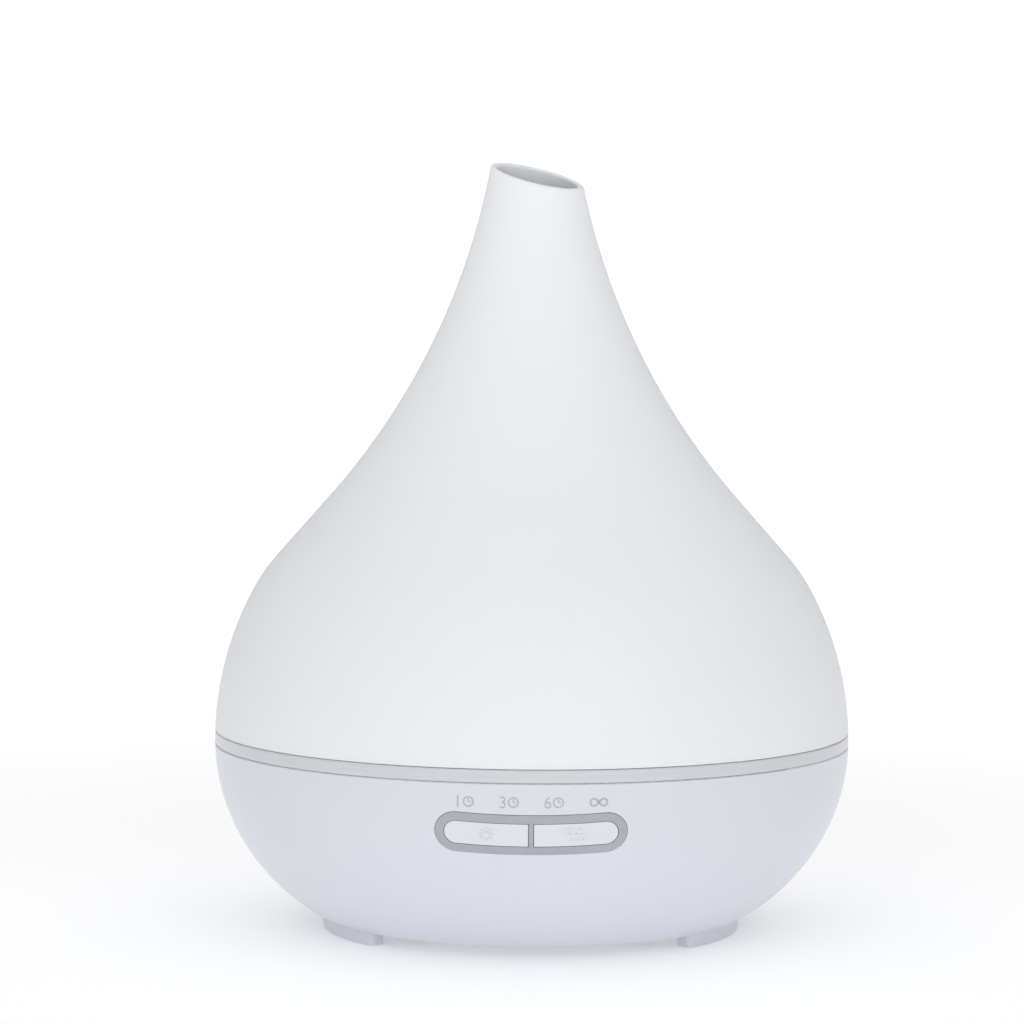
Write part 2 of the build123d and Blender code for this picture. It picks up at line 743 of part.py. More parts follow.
def make_indicator_leds():
    middle = control_board_high - led_width / 2
    chip = Rectangle(led_length, led_width)
    return [
        panel_prism(Pos(x, middle) * chip, -board_depth, -board_depth + led_height)
        for x in legend_places()
    ]


def make_indicator_light_guide():
    inner = bowl_radius(guide_low, shell_wall) - guide_depth
    band = ring_sector(rim_radius, inner, guide_low, guide_high, -90, guide_half_span)
    for x in legend_places():
        leg = Pos(x, control_board_high + 2.0) * Rectangle(2.4, 3.4)
        band += panel_prism(leg, -board_depth, -board_depth + 1.5)
    return band & bowl_solid(shell_wall + fit_gap, 0, rim_height)


# ---- fan and air duct --------------------------------------------------------------------------------
def fan_screw_spots():
    reach = fan_size / 2 - fan_hole_inset
    return [(x, fan_y + y) for x, y in ((-reach, -reach), (reach, -reach), (-reach, reach), (reach, reach))]


def make_fan_housing():
    outline = RectangleRounded(fan_size, fan_size, fan_corner)
    frame = extrude(Plane.XY.offset(fan_low) * Pos(0, fan_y) * outline, fan_depth)
    frame -= rod(fan_bore, fan_low, fan_high, 0, fan_y)
    strut_top = fan_low + 1.2
    base = rod(6.4, fan_low, strut_top, 0, fan_y)
    for turn in range(4):
        arm = Pos(0, fan_y, (fan_low + strut_top) / 2) * Rot(0, 0, 45 + 90 * turn) * Pos(10, 0, 0)
        base += arm * Box(9, 1.6, strut_top - fan_low)
    base += rod(bush_radius + 0.8, fan_low, fan_high - 3.5, 0, fan_y)
    base -= rod(bush_radius, fan_low + 0.6, fan_high, 0, fan_y)
    frame += base
    for x, y in fan_screw_spots():
        frame -= rod(fan_screw_shank + 0.2, fan_low, fan_high, x, y)
        frame -= rod(fan_screw_head + 0.2, fan_high - fan_screw_head_height - 0.2, fan_high, x, y)
    return frame


def make_fan_screws():
    seat = fan_high - fan_screw_head_height - 0.2
    length = seat - base_bottom - 1.0
    size = (fan_screw_shank, length, fan_screw_head, fan_screw_head_height)
    return [headed_screw(x, y, seat, *size, head_below=False) for x, y in fan_screw_spots()]


def make_fan_bush():
    return tube(bush_radius, shaft_radius + shaft_fit, fan_low + 0.9, fan_high - 3.8, 0, fan_y)


def make_fan_shaft():
    return rod(shaft_radius, fan_low + 1.2, fan_high - 1.6, 0, fan_y)


def make_fan_stator():
    return tube(5.2, bush_radius + 0.8, fan_low + 1.6, fan_high - 4.4, 0, fan_y)


def make_fan_rotor():
    low = fan_low + 2.0
    high = fan_high - 0.8
    hub = rod(hub_radius, low, high, 0, fan_y) - rod(hub_radius - hub_wall, low, high - 1.6, 0, fan_y)
    hub -= rod(shaft_radius, low, high - 0.8, 0, fan_y)
    middle = (low + high) / 2
    length = rotor_radius - hub_radius + 3
    ring = tube(rotor_radius, hub_radius - hub_wall / 2, low, high, 0, fan_y)
    blades = None
    for turn in range(blade_count):
        spoke = Rot(0, 0, 360 * turn / blade_count) * Pos(hub_radius + length / 2 - 1, 0, 0)
        blade = Rot(blade_pitch, 0, 0) * Box(length, blade_chord, blade_thickness)
        blade = Pos(0, fan_y, middle) * spoke * blade
        blades = blade if blades is None else blades + blade
    return hub + (blades & ring)


def make_air_duct():
    """Box over the fan with a side channel to the tank's air tower."""
    half = fan_size / 2
    fan_face = Pos(0, fan_y) * Rectangle(fan_size, fan_size)
    channel_end = Pos(tower_x, tower_y) * Circle(tower_radius + duct_wall)
    channel_start = Pos(-half + 3, fan_y + half - 8) * Circle(8.0)
    plan = fan_face + make_hull((channel_start + channel_end).edges())
    duct = extrude(Plane.XY.offset(duct_low) * plan, duct_top - duct_low)
    hollow_face = Pos(0, fan_y) * Rectangle(fan_size - 2 * duct_wall, fan_size - 2 * duct_wall)
    hollow_end = Pos(tower_x, tower_y) * Circle(tower_radius - tower_wall)
    hollow_start = Pos(-half + 3, fan_y + half - 8) * Circle(8.0 - duct_wall)
    channel = make_hull((hollow_start + hollow_end).edges())
    duct -= extrude(Plane.XY.offset(duct_low) * hollow_face, duct_top - duct_low - duct_wall)
    duct -= extrude(Plane.XY.offset(duct_low + duct_wall) * channel, duct_top - duct_low - 2 * duct_wall)
    collar = tower_radius + duct_collar_gap
    collar_top = duct_top + duct_collar_height
    duct += tube(collar + duct_wall, collar, duct_top - 0.5, collar_top, tower_x, tower_y)
    return duct - rod(tower_radius - tower_wall, duct_top - 2, duct_top + 2, tower_x, tower_y)


# ---- boards ------------------------------------------------------------------------------------------
def main_screw_spots():
    x = main_board_length / 2 - main_screw_inset
    rear = main_board_rear - main_screw_inset
    front = main_board_rear - main_board_width + main_screw_inset
    return [(-x, front), (x, front), (-x, rear), (x, rear)]


def make_main_board():
    middle = main_board_rear - main_board_width / 2
    outline = Pos(0, middle) * RectangleRounded(main_board_length, main_board_width, 1.5)
    board = extrude(Plane.XY.offset(board_low) * outline, board_thickness)
    for x, y in main_screw_spots():
        board -= rod(small_screw_shank + 0.2, board_low, board_top, x, y)
    return board


def make_main_board_screws():
    return [
        headed_screw(x, y, board_top, small_screw_shank, 5.0, small_screw_head, small_screw_head_height,
                     head_below=False)
        for x, y in main_screw_spots()
    ]


def make_inductor():
    core = rod(5.0, board_top, board_top + 1.0, -14, -24) + rod(3.0, board_top, board_top + 6.0, -14, -24)
    winding = rod(4.4, board_top + 1.0, board_top + 5.0, -14, -24)
    return core + winding + rod(5.0, board_top + 5.0, board_top + 6.0, -14, -24)


def make_capacitors():
    cans = []
    for x in (2.0, 10.0):
        can = rod(3.15, board_top, board_top + 7.0, x, -31)
        can -= tube(3.5, 2.95, board_top + 1.0, board_top + 1.6, x, -31)
        cans.append(can)
    return cans


def make_power_transistor():
    return block(8, 13, -19, -13, board_top, board_top + 1.8)


def make_heat_sink():
    sink = block(4, 18, -24, -10, board_top + 1.8, board_top + 3.2)
    for fin in range(5):
        x = 4.5 + 3.2 * fin
        sink += block(x - 0.5, x + 0.7, -24, -10, board_top + 3.0, board_top + 5.0)
    return sink


def make_control_chip():
    return block(-4, 2, -14, -8, board_top, board_top + 1.5)


def make_board_connectors():
    half_x = connector_length / 2
    half_y = connector_width / 2
    top = board_top + connector_height
    sockets = []
    for x, y in (fan_connector, light_connector, disc_connector, socket_connector, control_connector):
        body = block(x - half_x, x + half_x, y - half_y, y + half_y, board_top, top)
        mouth_x = half_x - connector_wall
        mouth_y = half_y - connector_wall
        mouth = block(x - mouth_x, x + mouth_x, y - mouth_y, y + mouth_y, top - connector_mouth, top)
        sockets.append(body - mouth)
    return sockets


def make_light_board():
    low = light_board_top - light_board_thickness
    board = tube(light_board_outer, light_board_inner, low, light_board_top)
    rear_cut = fan_y - fan_size / 2 - 1.0
    board -= block(-large, large, rear_cut, large, 0, large)
    for angle in light_screw_angles:
        x, y = around(angle, light_screw_ring)
        board -= rod(light_screw_shank + 0.2, low, light_board_top, x, y)
    return board


def make_light_leds():
    first = -90 - light_led_step * (light_led_count - 1) / 2
    leds = []
    for place in range(light_led_count):
        turn = Rot(0, 0, first + light_led_step * place) * Pos(light_led_ring, 0, light_board_top + 0.6)
        leds.append(turn * Box(2.8, 3.5, 1.2))
    return leds


def make_light_board_screws():
    seat = light_board_top - light_board_thickness
    return [
        headed_screw(*around(angle, light_screw_ring), seat, light_screw_shank, 3.8, light_screw_head, 1.3)
        for angle in light_screw_angles
    ]


# ---- power socket ------------------------------------------------------------------------------------
def make_dc_socket():
    front = socket_wall_front + socket_flange_depth
    barrel = socket_rod(socket_barrel, front - socket_barrel_length, front)
    barrel += socket_rod(socket_flange, socket_wall_front, front)
    bore_floor = front - socket_bore_depth
    barrel -= socket_rod(socket_bore, bore_floor, front)
    return barrel - socket_rod(socket_pin_root, bore_floor - socket_pin_root_length, bore_floor)


def make_socket_pin():
    bore_floor = socket_wall_front + socket_flange_depth - socket_bore_depth
    root = socket_rod(socket_pin_root, bore_floor - socket_pin_root_length, bore_floor)
    return root + socket_rod(socket_pin_radius, bore_floor, bore_floor + socket_pin_length)


def make_socket_nut():
    back = socket_wall_front - socket_wall_thickness
    plane = Plane(origin=(0, back, socket_height), x_dir=(1, 0, 0), z_dir=(0, -1, 0))
    hexagon = RegularPolygon(socket_nut_flat / 2, 6, major_radius=False)
    return extrude(plane * (hexagon - Circle(socket_barrel + 0.05)), socket_nut_depth)


# ---- internal leads ------------------------------------------------------------------------------------
def lead(points):
    """Round lead along straight runs, joined by arcs as large as the runs allow."""
    route = [Vector(*point) for point in points]
    radii = []
    for before, corner, after in zip(route, route[1:], route[2:]):
        arriving = corner - before
        leaving = after - corner
        turn = radians(arriving.get_angle(leaving))
        radii.append(0.45 * min(arriving.length, leaving.length) / tan(turn / 2))
    path = FilletPolyline(*route, radius=radii)
    start = Plane(origin=route[0], z_dir=route[1] - route[0])
    print("lead radii", [round(radius, 1) for radius in radii])
    return sweep(start * Circle(lead_radius), path=path)


def plug_level():
    return board_top + connector_height - 2.0


def make_socket_lead():
    x, y = socket_connector
    back = socket_wall_front + socket_flange_depth - socket_barrel_length + 3.0
    side = fan_size / 2 + 8
    return lead([
        (socket_barrel, back, socket_height),
        (socket_barrel + 9, back, socket_height),
        (side, fan_y + fan_size / 2 - 3, plug_level() + 0.8),
        (side - 0.5, fan_y - 8, plug_level() + 0.2),
        (x + 0.3, 0, plug_level() + 0.1),
        (x, y + 12, plug_level()),
        (x, y + connector_width / 2, plug_level()),
    ])


def make_fan_lead():
    x, y = fan_connector
    side = -fan_size / 2
    return lead([
        (side, fan_y - 10, fan_low + 3.4),
        (side - 5.5, fan_y - 10, fan_low + 3.4),
        (side - 7, fan_y - 20, fan_low + 5.5),
        (x, -3, plug_level()),
        (x, y + connector_width / 2, plug_level()),
    ])


def make_disc_lead():
    x, y = disc_connector
    return lead([
        (-3, 0, disc_height),
        (-3, 0, disc_height - 4),
        (-5.5, -9, plug_level() + 0.6),
        (x, -20, plug_level()),
        (x, y + connector_width / 2, plug_level()),
    ])


def make_light_lead():
    x, y = light_connector
    return lead([
        (x - 1.5, -4, light_board_top - light_board_thickness),
        (x - 1.5, -4, light_board_top - light_board_thickness - 3),
        (x - 1.1, -10, plug_level() + 1.0),
        (x, -16, plug_level()),
        (x, y + connector_width / 2, plug_level()),
    ])


def make_control_lead():
    x, y = control_connector
    back = panel.from_local_coords((10, -8, -board_depth - control_board_thickness))
    away = panel.from_local_coords((10, -8, -board_depth - control_board_thickness - 3.6))
    return lead([
        (back.X, back.Y, back.Z),
        (away.X, away.Y, away.Z),
        (back.X + 1.8, back.Y + 12, back.Z - 8.5),
        (x - 2, y - 13, plug_level() + 2.5),
        (x, y - 6.5, plug_level()),
        (x, y - connector_width / 2, plug_level()),
    ])


def make_all():
    os.makedirs("parts", exist_ok=True)
    save("top_cover", make_top_cover())
    save("cover_seal", make_cover_seal())
    save("inner_lid", make_inner_lid())
    save("trim_ring", make_trim_ring())
    save("tank_gasket", make_tank_gasket())
    save("water_tank", make_water_tank())
    save("air_tower", make_air_tower())
    save("base_shell", make_base_shell())
    save("bottom_plate", make_bottom_plate())
    save("plate_screws", *make_plate_screws())
    save("foot_pads", *[foot_pad(angle, 0) for angle in pad_angles])
    save("button_bezel", make_button_bezel())
    for name, side, icon in (("light", -1, lamp_icon), ("mist", 1, mist_icon)):
        save(f"{name}_button", make_button(side, icon))
        save(f"{name}_switch_stem", make_switch_stem(side))
        save(f"{name}_switch", make_switch(side))
    save("control_board", make_control_board())
    save("control_board_screws", *make_control_board_screws())
    save("indicator_leds", *make_indicator_leds())
    save("indicator_light_guide", make_indicator_light_guide())
    save("ultrasonic_disc", rod(disc_radius, disc_height, disc_height + disc_thickness))
    save("disc_seal", make_disc_seal())
    save("disc_clamp", make_disc_clamp())
    save("clamp_screws", *make_clamp_screws())
    save("light_board", make_light_board())
    save("light_leds", *make_light_leds())
    save("light_board_screws", *make_light_board_screws())
    save("main_board", make_main_board())
    save("main_board_screws", *make_main_board_screws())
    save("inductor", make_inductor())
    save("capacitors", *make_capacitors())
    save("power_transistor", make_power_transistor())
    save("heat_sink", make_heat_sink())
    save("control_chip", make_control_chip())
    save("board_connectors", *make_board_connectors())
    save("fan_housing", make_fan_housing())
    save("fan_stator", make_fan_stator())
    save("fan_bush", make_fan_bush())
    save("fan_shaft", make_fan_shaft())
    save("fan_rotor", make_fan_rotor())
    save("fan_screws", *make_fan_screws())
    save("air_duct", make_air_duct())
    save("socket_lead", make_socket_lead())
    save("fan_lead", make_fan_lead())
    save("disc_lead", make_disc_lead())
    save("light_lead", make_light_lead())
    save("control_lead", make_control_lead())
    save("dc_socket", make_dc_socket())
    save("socket_pin", make_socket_pin())
    save("socket_nut", make_socket_nut())


make_all()
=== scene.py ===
from math import atan2, cos, degrees, hypot, pi, radians, sin, sqrt, tan

import bmesh
import bpy
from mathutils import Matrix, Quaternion, Vector


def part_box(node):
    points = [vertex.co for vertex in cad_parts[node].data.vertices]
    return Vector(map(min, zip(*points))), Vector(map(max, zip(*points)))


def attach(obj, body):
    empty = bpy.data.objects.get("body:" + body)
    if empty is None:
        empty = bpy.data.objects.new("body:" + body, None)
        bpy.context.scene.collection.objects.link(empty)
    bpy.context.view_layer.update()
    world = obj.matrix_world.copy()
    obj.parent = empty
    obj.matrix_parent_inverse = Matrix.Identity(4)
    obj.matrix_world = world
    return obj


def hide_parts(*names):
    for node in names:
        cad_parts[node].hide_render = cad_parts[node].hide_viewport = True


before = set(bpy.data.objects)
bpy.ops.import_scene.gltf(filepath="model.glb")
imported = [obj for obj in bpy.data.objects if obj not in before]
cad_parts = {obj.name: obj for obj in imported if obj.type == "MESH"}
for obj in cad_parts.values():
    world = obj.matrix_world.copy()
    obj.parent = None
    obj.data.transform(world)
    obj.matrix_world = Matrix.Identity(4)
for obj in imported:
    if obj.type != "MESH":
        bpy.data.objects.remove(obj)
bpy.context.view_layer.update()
mm = 0.001

# Shared helpers


def linear(hexColour):
    parts = [int(hexColour[at:at + 2], 16) / 255 for at in (1, 3, 5)]
    return tuple(c / 12.92 if c <= 0.04045 else ((c + 0.055) / 1.055) ** 2.4 for c in parts) + (1.0,)


def addNode(tree, kind, inputs=None, **settings):
    node = tree.nodes.new(kind)
    node.location.x = 190 * len(tree.nodes)
    for name, value in settings.items():
        setattr(node, name, value)
    for name, value in (inputs or {}).items():
        if isinstance(value, bpy.types.NodeSocket):
            tree.links.new(value, node.inputs[name])
        else:
            node.inputs[name].default_value = value
    return node


def newMaterial(name, **shaderInputs):
    material = bpy.data.materials.new(name)
    material.use_nodes = True
    shader = material.node_tree.nodes["Principled BSDF"]
    for socket, value in shaderInputs.items():
        shader.inputs[socket.replace("_", " ")].default_value = value
    return material, material.node_tree, shader


def perMm(size):
    return 1 / (size * mm)  # texture scale for a feature of that size


def corner(node):
    low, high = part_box(node)
    return [v / mm for v in low], [v / mm for v in high]


# Materials: each starts from the plastic or metal that the real piece is moulded or turned from


def mouldedPlastic(name, look):
    material, tree, shader = newMaterial(name, IOR=look["ior"])
    if look.get("throughLight"):  # light that enters the wall and leaves beside where it came in
        shader.inputs["Subsurface Weight"].default_value = look["throughLight"]
        shader.inputs["Subsurface Radius"].default_value = (1.0, 0.95, 0.9)
        shader.inputs["Subsurface Scale"].default_value = look["throughMm"] * mm
    shader.inputs["Metallic"].default_value = look.get("flake", 0.0)
    if look.get("coat"):
        shader.inputs["Coat Weight"].default_value = look["coat"]
        shader.inputs["Coat Roughness"].default_value = look["coatRough"]
    place = addNode(tree, "ShaderNodeTexCoord").outputs["Object"]
    flow = addNode(tree, "ShaderNodeTexNoise",
                   {"Vector": place, "Scale": perMm(look["flowMm"]), "Detail": 3.0, "Roughness": 0.55})
    grain = addNode(tree, "ShaderNodeTexNoise",
                    {"Vector": place, "Scale": perMm(look["grainMm"]), "Detail": 2.0, "Roughness": 0.5})
    tint = addNode(tree, "ShaderNodeMix", {0: flow.outputs[0], 6: linear(look["colour"]),
                                           7: linear(look["paler"])}, data_type="RGBA")
    low, high = look["rough"]
    both = addNode(tree, "ShaderNodeMath", {0: flow.outputs[0], 1: grain.outputs[0]}, operation="ADD")
    rough = addNode(tree, "ShaderNodeMapRange", {"Value": both.outputs[0], "From Min": 0.6, "From Max": 1.4,
                                                 "To Min": low, "To Max": high})
    bump = addNode(tree, "ShaderNodeBump", {"Height": grain.outputs[0], "Strength": look.get("bump", 1.0),
                                            "Distance": look["depthMm"] * mm})
    tree.links.new(tint.outputs[2], shader.inputs["Base Color"])
    tree.links.new(rough.outputs[0], shader.inputs["Roughness"])
    tree.links.new(bump.outputs[0], shader.inputs["Normal"])
    return material


# natural polypropylene, spark-eroded mould: matte, milky, light bleeds through the thin wall
coverPolypropylene = mouldedPlastic("cover_polypropylene", {
    "colour": "#EEEFF1", "paler": "#F2F3F5", "ior": 1.49, "rough": (0.52, 0.62), "throughLight": 0.22,
    "throughMm": 3.0, "flowMm": 45.0, "grainMm": 0.5, "depthMm": 0.004})  # real grain 0.1 mm, drawn coarser
# ABS from a polished mould: cool white, satin, with a soft reflection
baseAbs = mouldedPlastic("base_abs", {
    "colour": "#D9DCE3", "paler": "#DDDFE6", "ior": 1.53, "rough": (0.30, 0.34), "flowMm": 30.0,
    "grainMm": 2.2, "depthMm": 0.0003, "coat": 0.12, "coatRough": 0.25})
buttonAbs = mouldedPlastic("button_abs", {
    "colour": "#DDDFE5", "paler": "#E1E3E8", "ior": 1.53, "rough": (0.30, 0.38), "flowMm": 9.0,
    "grainMm": 0.8, "depthMm": 0.0008})
# ABS filled with fine aluminium flake: flat silver-grey
bezelAbs = mouldedPlastic("bezel_silver_abs", {
    "colour": "#A5A7AB", "paler": "#B4B5B9", "ior": 1.53, "rough": (0.30, 0.40), "flowMm": 6.0,
    "grainMm": 0.35, "depthMm": 0.003, "flake": 0.45, "coat": 0.2, "coatRough": 0.25})
# natural polypropylene, polished mould: slightly glossy and see-through at its thin edges
tankPolypropylene = mouldedPlastic("tank_polypropylene", {
    "colour": "#EDEEEE", "paler": "#F3F4F4", "ior": 1.49, "rough": (0.22, 0.34), "throughLight": 0.25,
    "throughMm": 3.5, "flowMm": 22.0, "grainMm": 0.7, "depthMm": 0.005})
lidPolypropylene = mouldedPlastic("lid_polypropylene", {
    "colour": "#E9EBEC", "paler": "#F1F2F3", "ior": 1.49, "rough": (0.28, 0.42), "throughLight": 0.4,
    "throughMm": 5.0, "flowMm": 18.0, "grainMm": 0.6, "depthMm": 0.006})
lightGuideAcrylic = mouldedPlastic("light_guide_acrylic", {
    "colour": "#EEF1F4", "paler": "#F6F8FA", "ior": 1.49, "rough": (0.05, 0.12), "throughLight": 0.6,
    "throughMm": 6.0, "flowMm": 6.0, "grainMm": 0.5, "depthMm": 0.001})
# silicone: soft, a little milky, with a greasy sheen
siliconeRubber = mouldedPlastic("silicone_rubber", {
    "colour": "#D5D7D8", "paler": "#DFE1E2", "ior": 1.41, "rough": (0.36, 0.5), "throughLight": 0.3,
    "throughMm": 2.0, "flowMm": 7.0, "grainMm": 0.4, "depthMm": 0.008})
padRubber = mouldedPlastic("pad_nitrile_rubber", {
    "colour": "#8E8F93", "paler": "#9C9DA1", "ior": 1.52, "rough": (0.7, 0.85), "flowMm": 4.0,
    "grainMm": 0.35, "depthMm": 0.03})
blackNylon = mouldedPlastic("black_nylon", {
    "colour": "#1B1B1D", "paler": "#29292B", "ior": 1.53, "rough": (0.42, 0.58), "flowMm": 6.0,
    "grainMm": 0.4, "depthMm": 0.012})
connectorNylon = mouldedPlastic("connector_nylon", {
    "colour": "#DCD5BE", "paler": "#E8E2CF", "ior": 1.53, "rough": (0.35, 0.5), "throughLight": 0.15,
    "throughMm": 1.0, "flowMm": 3.0, "grainMm": 0.3, "depthMm": 0.005})
leadVinyl = mouldedPlastic("lead_pvc", {
    "colour": "#C9CACC", "paler": "#D6D7D9", "ior": 1.54, "rough": (0.38, 0.5), "flowMm": 5.0,
    "grainMm": 0.3, "depthMm": 0.006})
ledEpoxy = mouldedPlastic("led_epoxy", {
    "colour": "#E8DD9C", "paler": "#F2EBC6", "ior": 1.55, "rough": (0.08, 0.16), "throughLight": 0.5,
    "throughMm": 1.5, "flowMm": 1.2, "grainMm": 0.3, "depthMm": 0.002, "coat": 0.6, "coatRough": 0.05})
markInk = mouldedPlastic("timer_mark_ink", {  # pad-printed ink, a shade under the plastic
    "colour": "#B2B4BB", "paler": "#BCBEC4", "ior": 1.5, "rough": (0.4, 0.5), "flowMm": 2.0,
    "grainMm": 0.4, "depthMm": 0.003})


def workedMetal(name, look):
    material, tree, shader = newMaterial(name, Metallic=1.0, Anisotropic=look.get("brushed", 0.0))
    place = addNode(tree, "ShaderNodeTexCoord").outputs["Object"]
    stretched = addNode(tree, "ShaderNodeMapping",
                        {"Vector": place, "Scale": look.get("stretch", (1, 1, 1))})
    lines = addNode(tree, "ShaderNodeTexNoise",
                    {"Vector": stretched.outputs[0], "Scale": perMm(look["lineMm"]), "Detail": 4.0})
    stain = addNode(tree, "ShaderNodeTexNoise",
                    {"Vector": place, "Scale": perMm(look["stainMm"]), "Detail": 3.0})
    tint = addNode(tree, "ShaderNodeMix", {0: stain.outputs[0], 6: linear(look["colour"]),
                                           7: linear(look["paler"])}, data_type="RGBA")
    low, high = look["rough"]
    rough = addNode(tree, "ShaderNodeMapRange", {"Value": lines.outputs[0], "From Min": 0.3, "From Max": 0.7,
                                                 "To Min": low, "To Max": high})
    bump = addNode(tree, "ShaderNodeBump", {"Height": lines.outputs[0], "Distance": look["depthMm"] * mm})
    tree.links.new(tint.outputs[2], shader.inputs["Base Color"])
    tree.links.new(rough.outputs[0], shader.inputs["Roughness"])
    tree.links.new(bump.outputs[0], shader.inputs["Normal"])
    return material


screwSteel = workedMetal("zinc_plated_steel", {  # bright, faintly blotched plating
    "colour": "#B9BCC0", "paler": "#D2D4D6", "rough": (0.22, 0.38), "lineMm": 0.4, "stainMm": 1.5,
    "depthMm": 0.004})
shaftSteel = workedMetal("ground_steel", {
    "colour": "#C4C6C9", "paler": "#D6D8DA", "rough": (0.14, 0.26), "lineMm": 0.3, "stainMm": 3.0,
    "depthMm": 0.002, "stretch": (1, 1, 8)})
discSteel = workedMetal("disc_stainless_steel", {  # the atomiser's face: fine turned rings
    "colour": "#C8C9CB", "paler": "#DADBDC", "rough": (0.16, 0.3), "lineMm": 0.5, "stainMm": 5.0,
    "depthMm": 0.003})
heatSinkAluminium = workedMetal("extruded_aluminium", {  # lines run up the fins
    "colour": "#BFC1C4", "paler": "#CFD1D3", "rough": (0.28, 0.42), "lineMm": 0.35, "stainMm": 4.0,
    "depthMm": 0.006, "stretch": (1, 1, 0.08)})
bushBrass = workedMetal("turned_brass", {
    "colour": "#C8A566", "paler": "#D8B97C", "rough": (0.2, 0.34), "lineMm": 0.3, "stainMm": 2.0,
    "depthMm": 0.003, "stretch": (1, 1, 8)})
windingCopper = workedMetal("enamelled_copper", {  # coated wire, laid in turns
    "colour": "#B4673A", "paler": "#C97D4B", "rough": (0.22, 0.36), "lineMm": 0.5, "stainMm": 2.0,
    "depthMm": 0.05, "stretch": (1, 1, 5)})


def circuitBoard(name, look):
    material, tree, shader = newMaterial(name, IOR=1.52, Coat_Weight=0.5, Coat_Roughness=0.12)
    place = addNode(tree, "ShaderNodeTexCoord").outputs["Object"]
    cells = addNode(tree, "ShaderNodeTexVoronoi", {"Vector": place, "Scale": perMm(look["trackPitchMm"])},
                    feature="DISTANCE_TO_EDGE")
    track = addNode(tree, "ShaderNodeMapRange", {
        "Value": cells.outputs[0], "From Min": 0.05, "From Max": 0.09, "To Min": 1.0, "To Max": 0.0})
    weave = addNode(tree, "ShaderNodeTexNoise",
                    {"Vector": place, "Scale": perMm(look["weaveMm"]), "Detail": 2.0})
    tint = addNode(tree, "ShaderNodeMix", {0: track.outputs[0], 6: linear(look["mask"]),
                                           7: linear(look["track"])}, data_type="RGBA")
    rough = addNode(tree, "ShaderNodeMapRange", {"Value": weave.outputs[0], "To Min": 0.28, "To Max": 0.42})
    bump = addNode(tree, "ShaderNodeBump", {"Height": track.outputs[0], "Distance": 0.035 * mm})
    tree.links.new(tint.outputs[2], shader.inputs["Base Color"])
    tree.links.new(rough.outputs[0], shader.inputs["Roughness"])
    tree.links.new(bump.outputs[0], shader.inputs["Normal"])
    return material


boardMask = circuitBoard("board_solder_mask", {  # green mask over glass epoxy, copper tracks show through
    "mask": "#14532A", "track": "#2C7A41", "trackPitchMm": 2.6, "weaveMm": 0.5})


def trimRingMaterial(look):
    # silver-grey ABS whose polished mould leaves faint streaks round the ring
    material, tree, shader = newMaterial("trim_silver_abs", IOR=1.53, Coat_Weight=0.25, Coat_Roughness=0.22)
    place = addNode(tree, "ShaderNodeTexCoord").outputs["Object"]
    parts = addNode(tree, "ShaderNodeSeparateXYZ", {0: place})
    turn = addNode(tree, "ShaderNodeMath", {0: parts.outputs[1], 1: parts.outputs[0]},
                   operation="ARCTAN2")
    along = addNode(tree, "ShaderNodeMath", {0: turn.outputs[0], 1: look["streaksPerTurn"]},
                    operation="MULTIPLY")
    across = addNode(tree, "ShaderNodeMath", {0: parts.outputs[2], 1: perMm(look["streakMm"])},
                     operation="MULTIPLY")
    laid = addNode(tree, "ShaderNodeCombineXYZ", {0: along.outputs[0], 1: across.outputs[0]})
    streak = addNode(tree, "ShaderNodeTexNoise", {"Vector": laid.outputs[0], "Scale": 1.0, "Detail": 4.0})
    grain = addNode(tree, "ShaderNodeTexNoise", {"Vector": place, "Scale": perMm(0.4), "Detail": 2.0})
    tint = addNode(tree, "ShaderNodeMix", {0: streak.outputs[0], 6: linear(look["colour"]),
                                           7: linear(look["paler"])}, data_type="RGBA")
    rough = addNode(tree, "ShaderNodeMapRange", {"Value": streak.outputs[0], "From Min": 0.3, "From Max": 0.7,
                                                 "To Min": 0.3, "To Max": 0.4})
    bump = addNode(tree, "ShaderNodeBump", {"Height": grain.outputs[0], "Distance": 0.003 * mm})
    tree.links.new(tint.outputs[2], shader.inputs["Base Color"])
    tree.links.new(rough.outputs[0], shader.inputs["Roughness"])
    tree.links.new(bump.outputs[0], shader.inputs["Normal"])
    return material


trimAbs = trimRingMaterial({"colour": "#CBCCD0", "paler": "#D6D7DB", "streaksPerTurn": 9.0, "streakMm": 0.9})


def capacitorSleeve(look):
    # printed PVC sleeve below, bare aluminium top
    material, tree, shader = newMaterial("capacitor_pvc_sleeve", IOR=1.54)
    place = addNode(tree, "ShaderNodeTexCoord").outputs["Object"]
    height = addNode(tree, "ShaderNodeSeparateXYZ", {0: place})
    top = addNode(tree, "ShaderNodeMath", {0: height.outputs[2], 1: look["sleeveTop"] * mm},
                  operation="GREATER_THAN")
    wrinkle = addNode(tree, "ShaderNodeTexNoise", {"Vector": place, "Scale": perMm(0.8), "Detail": 3.0})
    tint = addNode(tree, "ShaderNodeMix", {0: top.outputs[0], 6: linear(look["sleeve"]),
                                           7: linear(look["metal"])}, data_type="RGBA")
    rough = addNode(tree, "ShaderNodeMapRange", {"Value": wrinkle.outputs[0], "To Min": 0.25, "To Max": 0.45})
    bump = addNode(tree, "ShaderNodeBump", {"Height": wrinkle.outputs[0], "Distance": 0.01 * mm})
    tree.links.new(tint.outputs[2], shader.inputs["Base Color"])
    tree.links.new(top.outputs[0], shader.inputs["Metallic"])
    tree.links.new(rough.outputs[0], shader.inputs["Roughness"])
    tree.links.new(bump.outputs[0], shader.inputs["Normal"])
    return material


capacitorTop = corner("capacitors")[1][2]
capacitorPvc = capacitorSleeve({"sleeve": "#1D2A4A", "metal": "#C6C8CB", "sleeveTop": capacitorTop - 0.1})

